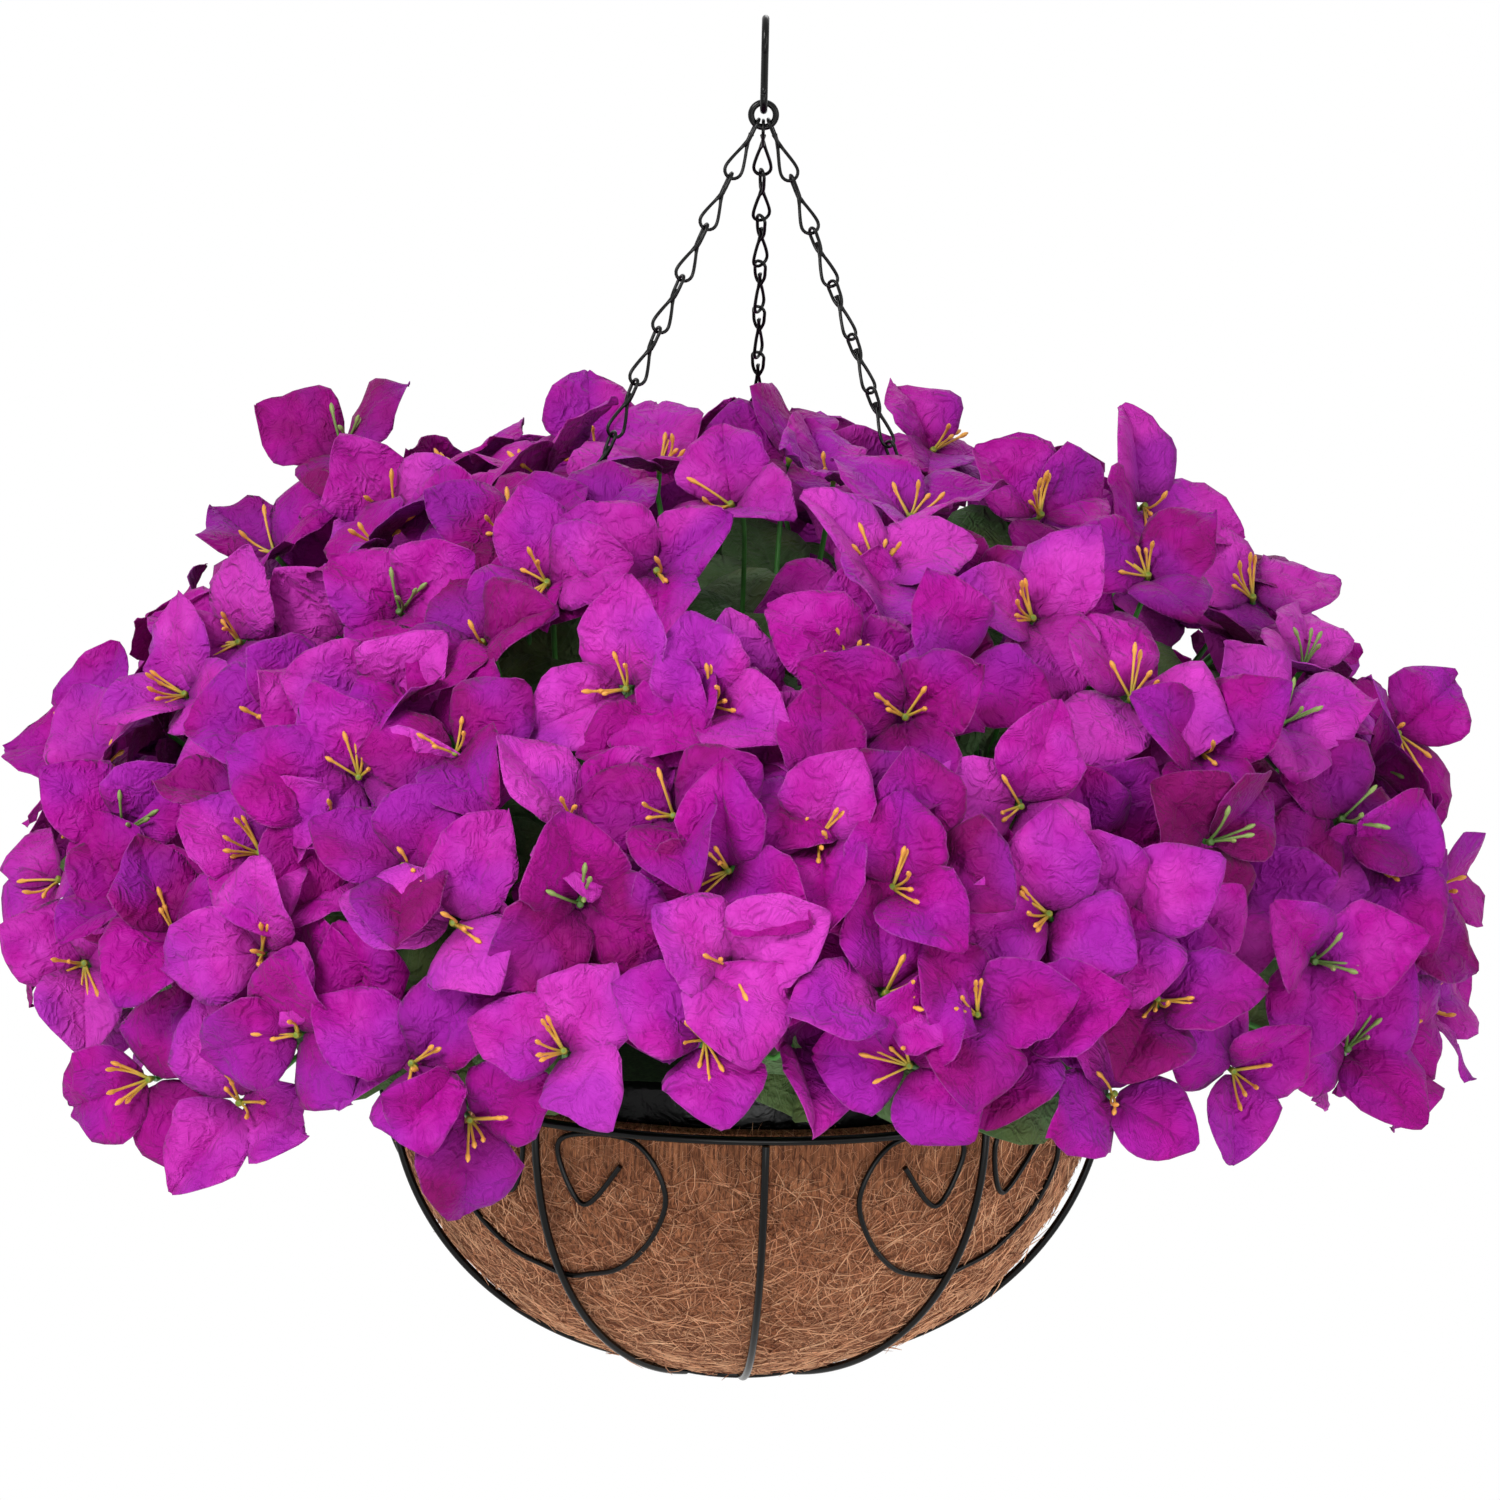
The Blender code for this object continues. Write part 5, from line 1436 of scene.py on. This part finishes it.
# %% Bush tree
STALK, LEAF, UNDER, FLOWER = range(4)
TINTS = (0.1, 0.9)
STALK_SPACING = 9.0 * MM
STALK_SIDES = 6

flower_bush, given = new_tree("flower_bush", {
    "Flowers": "Collection", "Stamens": "Collection", "Leaves": "Collection", "Seed": "Int",
    "Bract cloth": "Material", "Stamen plastic": "Material", "Leaf cloth": "Material",
    "Stalk plastic": "Material"})
kind = add_node(flower_bush, "GeometryNodeInputNamedAttribute", {"Name": "kind"}, data_type="INT")
turn = add_node(flower_bush, "GeometryNodeInputNamedAttribute", {
    "Name": "turn"}, data_type="FLOAT_VECTOR")
turned = add_node(flower_bush, "FunctionNodeEulerToRotation", {0: turn})
size = add_node(flower_bush, "GeometryNodeInputNamedAttribute", {"Name": "size"}, data_type="FLOAT")
joined = add_node(flower_bush, "GeometryNodeJoinGeometry")
for number, (group, material, rule, wanted) in enumerate((
        ("Flowers", "Bract cloth", "GREATER_EQUAL", UNDER),
        ("Stamens", "Stamen plastic", "EQUAL", FLOWER),
        ("Leaves", "Leaf cloth", "EQUAL", LEAF))):
    shapes = add_node(flower_bush, "GeometryNodeCollectionInfo", {
        "Collection": given[group], "Separate Children": True, "Reset Children": True})
    chosen = add_node(flower_bush, "FunctionNodeCompare", {
        2: kind, 3: wanted}, data_type="INT", operation=rule)
    seed = add_node(flower_bush, "ShaderNodeMath", {0: given["Seed"], 1: 10.0 * number})
    pick = add_node(flower_bush, "FunctionNodeRandomValue", {
        4: 0, 5: 999, "Seed": seed}, data_type="INT")
    put = add_node(flower_bush, "GeometryNodeInstanceOnPoints", {
        "Points": given["Geometry"], "Selection": chosen, "Instance": shapes,
        "Pick Instance": True, "Instance Index": pick,
        "Rotation": turned, "Scale": size})
    dye = add_node(flower_bush, "FunctionNodeRandomValue", {
        2: TINTS[0], 3: TINTS[1], "Seed": given["Seed"]}, data_type="FLOAT")
    tinted = add_node(flower_bush, "GeometryNodeStoreNamedAttribute", {
        "Geometry": put, "Name": "tint", "Value": dye},
        data_type="FLOAT", domain="INSTANCE")
    real = add_node(flower_bush, "GeometryNodeRealizeInstances", {"Geometry": tinted})
    dressed = add_node(flower_bush, "GeometryNodeSetMaterial", {
        "Geometry": real, "Material": given[material]})
    fill_inputs(flower_bush, joined, {0: dressed})
lines = add_node(flower_bush, "GeometryNodeMeshToCurve", {"Mesh": given["Geometry"]})
curved = add_node(flower_bush, "GeometryNodeCurveSplineType", {
    "Curve": lines}, spline_type="CATMULL_ROM")
steps = add_node(flower_bush, "GeometryNodeResampleCurve", {
    "Curve": curved, "Length": STALK_SPACING}, mode="LENGTH")
section = add_node(flower_bush, "GeometryNodeCurvePrimitiveCircle", {
    "Resolution": STALK_SIDES, "Radius": 1.0})
swept = add_node(flower_bush, "GeometryNodeCurveToMesh", {
    "Curve": steps, "Profile Curve": section, "Scale": size,
    "Fill Caps": True})
rounded = add_node(flower_bush, "GeometryNodeSetShadeSmooth", {"Geometry": swept})
dressed = add_node(flower_bush, "GeometryNodeSetMaterial", {
    "Geometry": rounded, "Material": given["Stalk plastic"]})
fill_inputs(flower_bush, joined, {0: dressed})
whole = add_node(flower_bush, "GeometryNodeRealizeInstances", {"Geometry": joined})
add_node(flower_bush, "NodeGroupOutput", {"Geometry": whole})

# %% Bushes
STEM_RADIUS = 4.0 * MM
STEM_DEPTH = 42.0 * MM
STEM_CIRCLE = 104.0 * MM
STEM_ABOVE_FILM = 30.0 * MM
FOAM_BELOW_RIM = 6.0 * MM
STALK_RISE = 8.0 * MM
STALK_TURN = 14.0 * MM
STALK_SHARE = 0.6
ROOT_SPREAD = 20.0 * MM
STEM_TOP_Z = RIM_Z + FILM_ABOVE_RIM + STEM_ABOVE_FILM
STALK_CLEAR_Z = STEM_TOP_Z + STALK_RISE
STEM_FOOT_Z = RIM_Z - FOAM_BELOW_RIM - STEM_DEPTH + SEAT_GAP
FLOWER_SIZE = (0.93, 1.03)
LEAVES_PER_FLOWER = 3
LEAF_SIZE = (0.85, 1.15)
LEAF_SWING = (-0.6, 0.6)
LEAF_DEPTH = (34 * MM, 90 * MM)
LEAF_LOWEST = RIM_Z + 24 * MM
UNDER_TRIES = 4
UNDER_ASIDE = (24 * MM, 40 * MM)
UNDER_DEPTH = (16 * MM, 32 * MM)
UNDER_LEAN = (0.1, 0.6)
UNDER_LOWEST = RIM_Z + 58 * MM
BUSH_SEED = 100


def under_flower(base, turn):
    """A flower a little behind another and beside it, leaning out between its neighbours."""
    swing = bush_rng.uniform(0, math.tau)
    aside = turn @ Vector((math.cos(swing), math.sin(swing), 0))
    place = base + aside * bush_rng.uniform(*UNDER_ASIDE) - turn.col[2] * bush_rng.uniform(*UNDER_DEPTH)
    lean = Matrix.Rotation(bush_rng.uniform(*UNDER_LEAN), 3, turn.col[2].cross(aside))
    return place, lean @ turn @ Matrix.Rotation(bush_rng.uniform(0, math.tau), 3, "Z")


def flower_leaf(base, turn, root, number):
    """A leaf on a flower's stalk: its place and its row, turned round where it would hang too low."""
    swing = math.tau * number / LEAVES_PER_FLOWER + bush_rng.uniform(*LEAF_SWING)
    depth = bush_rng.uniform(*LEAF_DEPTH)
    place = base.lerp(root, depth / (base - root).length)
    leaf_turn = turn.to_quaternion() @ Quaternion((0, 0, 1), swing)
    if (place + leaf_turn @ Vector((LEAF_LENGTH, 0, 0))).z < LEAF_LOWEST:
        leaf_turn = leaf_turn @ Quaternion((0, 0, 1), math.pi)
    return place, (LEAF, leaf_turn.to_euler(), bush_rng.uniform(*LEAF_SIZE))


def bush_mesh(name, foot, flowers, with_under):
    """The points and stalk lines of a bush, with the kind, the turn and the size of each point."""
    verts = [foot + Vector((0, 0, STEM_FOOT_Z)), foot + Vector((0, 0, STEM_TOP_Z))]
    edges = [(0, 1)]
    rows = [(STALK, (0, 0, 0), STEM_RADIUS)] * 2
    for rank, (base, turn) in enumerate(flowers):
        root = foot + Vector((0, 0, STEM_TOP_Z - STEM_RADIUS - ROOT_SPREAD * rank / len(flowers)))
        group = [(FLOWER, base, turn)]
        tries = [under_flower(base, turn) for _ in range(UNDER_TRIES)]
        good = [spot for spot in tries if spot[0].z > UNDER_LOWEST and dome_share(spot[0]) < 1]
        if good and with_under:
            group.append((UNDER, *good[0]))
        for kind, place, facing in group:
            line = [place, place - facing.col[2] * STALK_TURN, root.lerp(base, 0.5), root]
            line[2].z = max(line[2].z, STALK_CLEAR_Z)
            edges += [(k, k + 1) for k in range(len(verts), len(verts) + len(line) - 1)]
            verts += line + [place]
            rows += [(STALK, (0, 0, 0), STALK_RADIUS * STALK_SHARE)] * len(line)
            rows.append((kind, facing.to_euler(), bush_rng.uniform(*FLOWER_SIZE)))
        for number in range(LEAVES_PER_FLOWER):
            place, row = flower_leaf(base, turn, root, number)
            verts.append(place)
            rows.append(row)
    kinds, turns, sizes = zip(*rows)
    return points_mesh(name, verts, {
        "kind": ("INT", kinds), "turn": ("FLOAT_VECTOR", turns), "size": ("FLOAT", sizes)}, edges)


bush_rng = random.Random(47)
for index, flowers in enumerate(bush_flowers()):
    crown = index == BUSH_COUNT
    node = "flower_bush_crown" if crown else f"flower_bush_{index + 1}"
    middle = sector_middle(index)
    foot = Vector((math.cos(middle), math.sin(middle), 0)) * (0 if crown else STEM_CIRCLE)
    mesh = bush_mesh(node, foot, flowers, not crown)
    bush = grow(add_piece(f"bush_{index + 1:02d}", mesh), flower_bush, {
        "Flowers": flower_kinds, "Stamens": stamen_kinds, "Leaves": leaf_kinds, "Seed": BUSH_SEED + index,
        "Bract cloth": bract_cloth, "Stamen plastic": stamen_plastic, "Leaf cloth": leaf_cloth,
        "Stalk plastic": stalk_plastic})
    take_over(bush, "basket", [node])
    print(len(flowers), "flowers")
for group in (flower_kinds, leaf_kinds, stamen_kinds):
    clear_kinds(group)
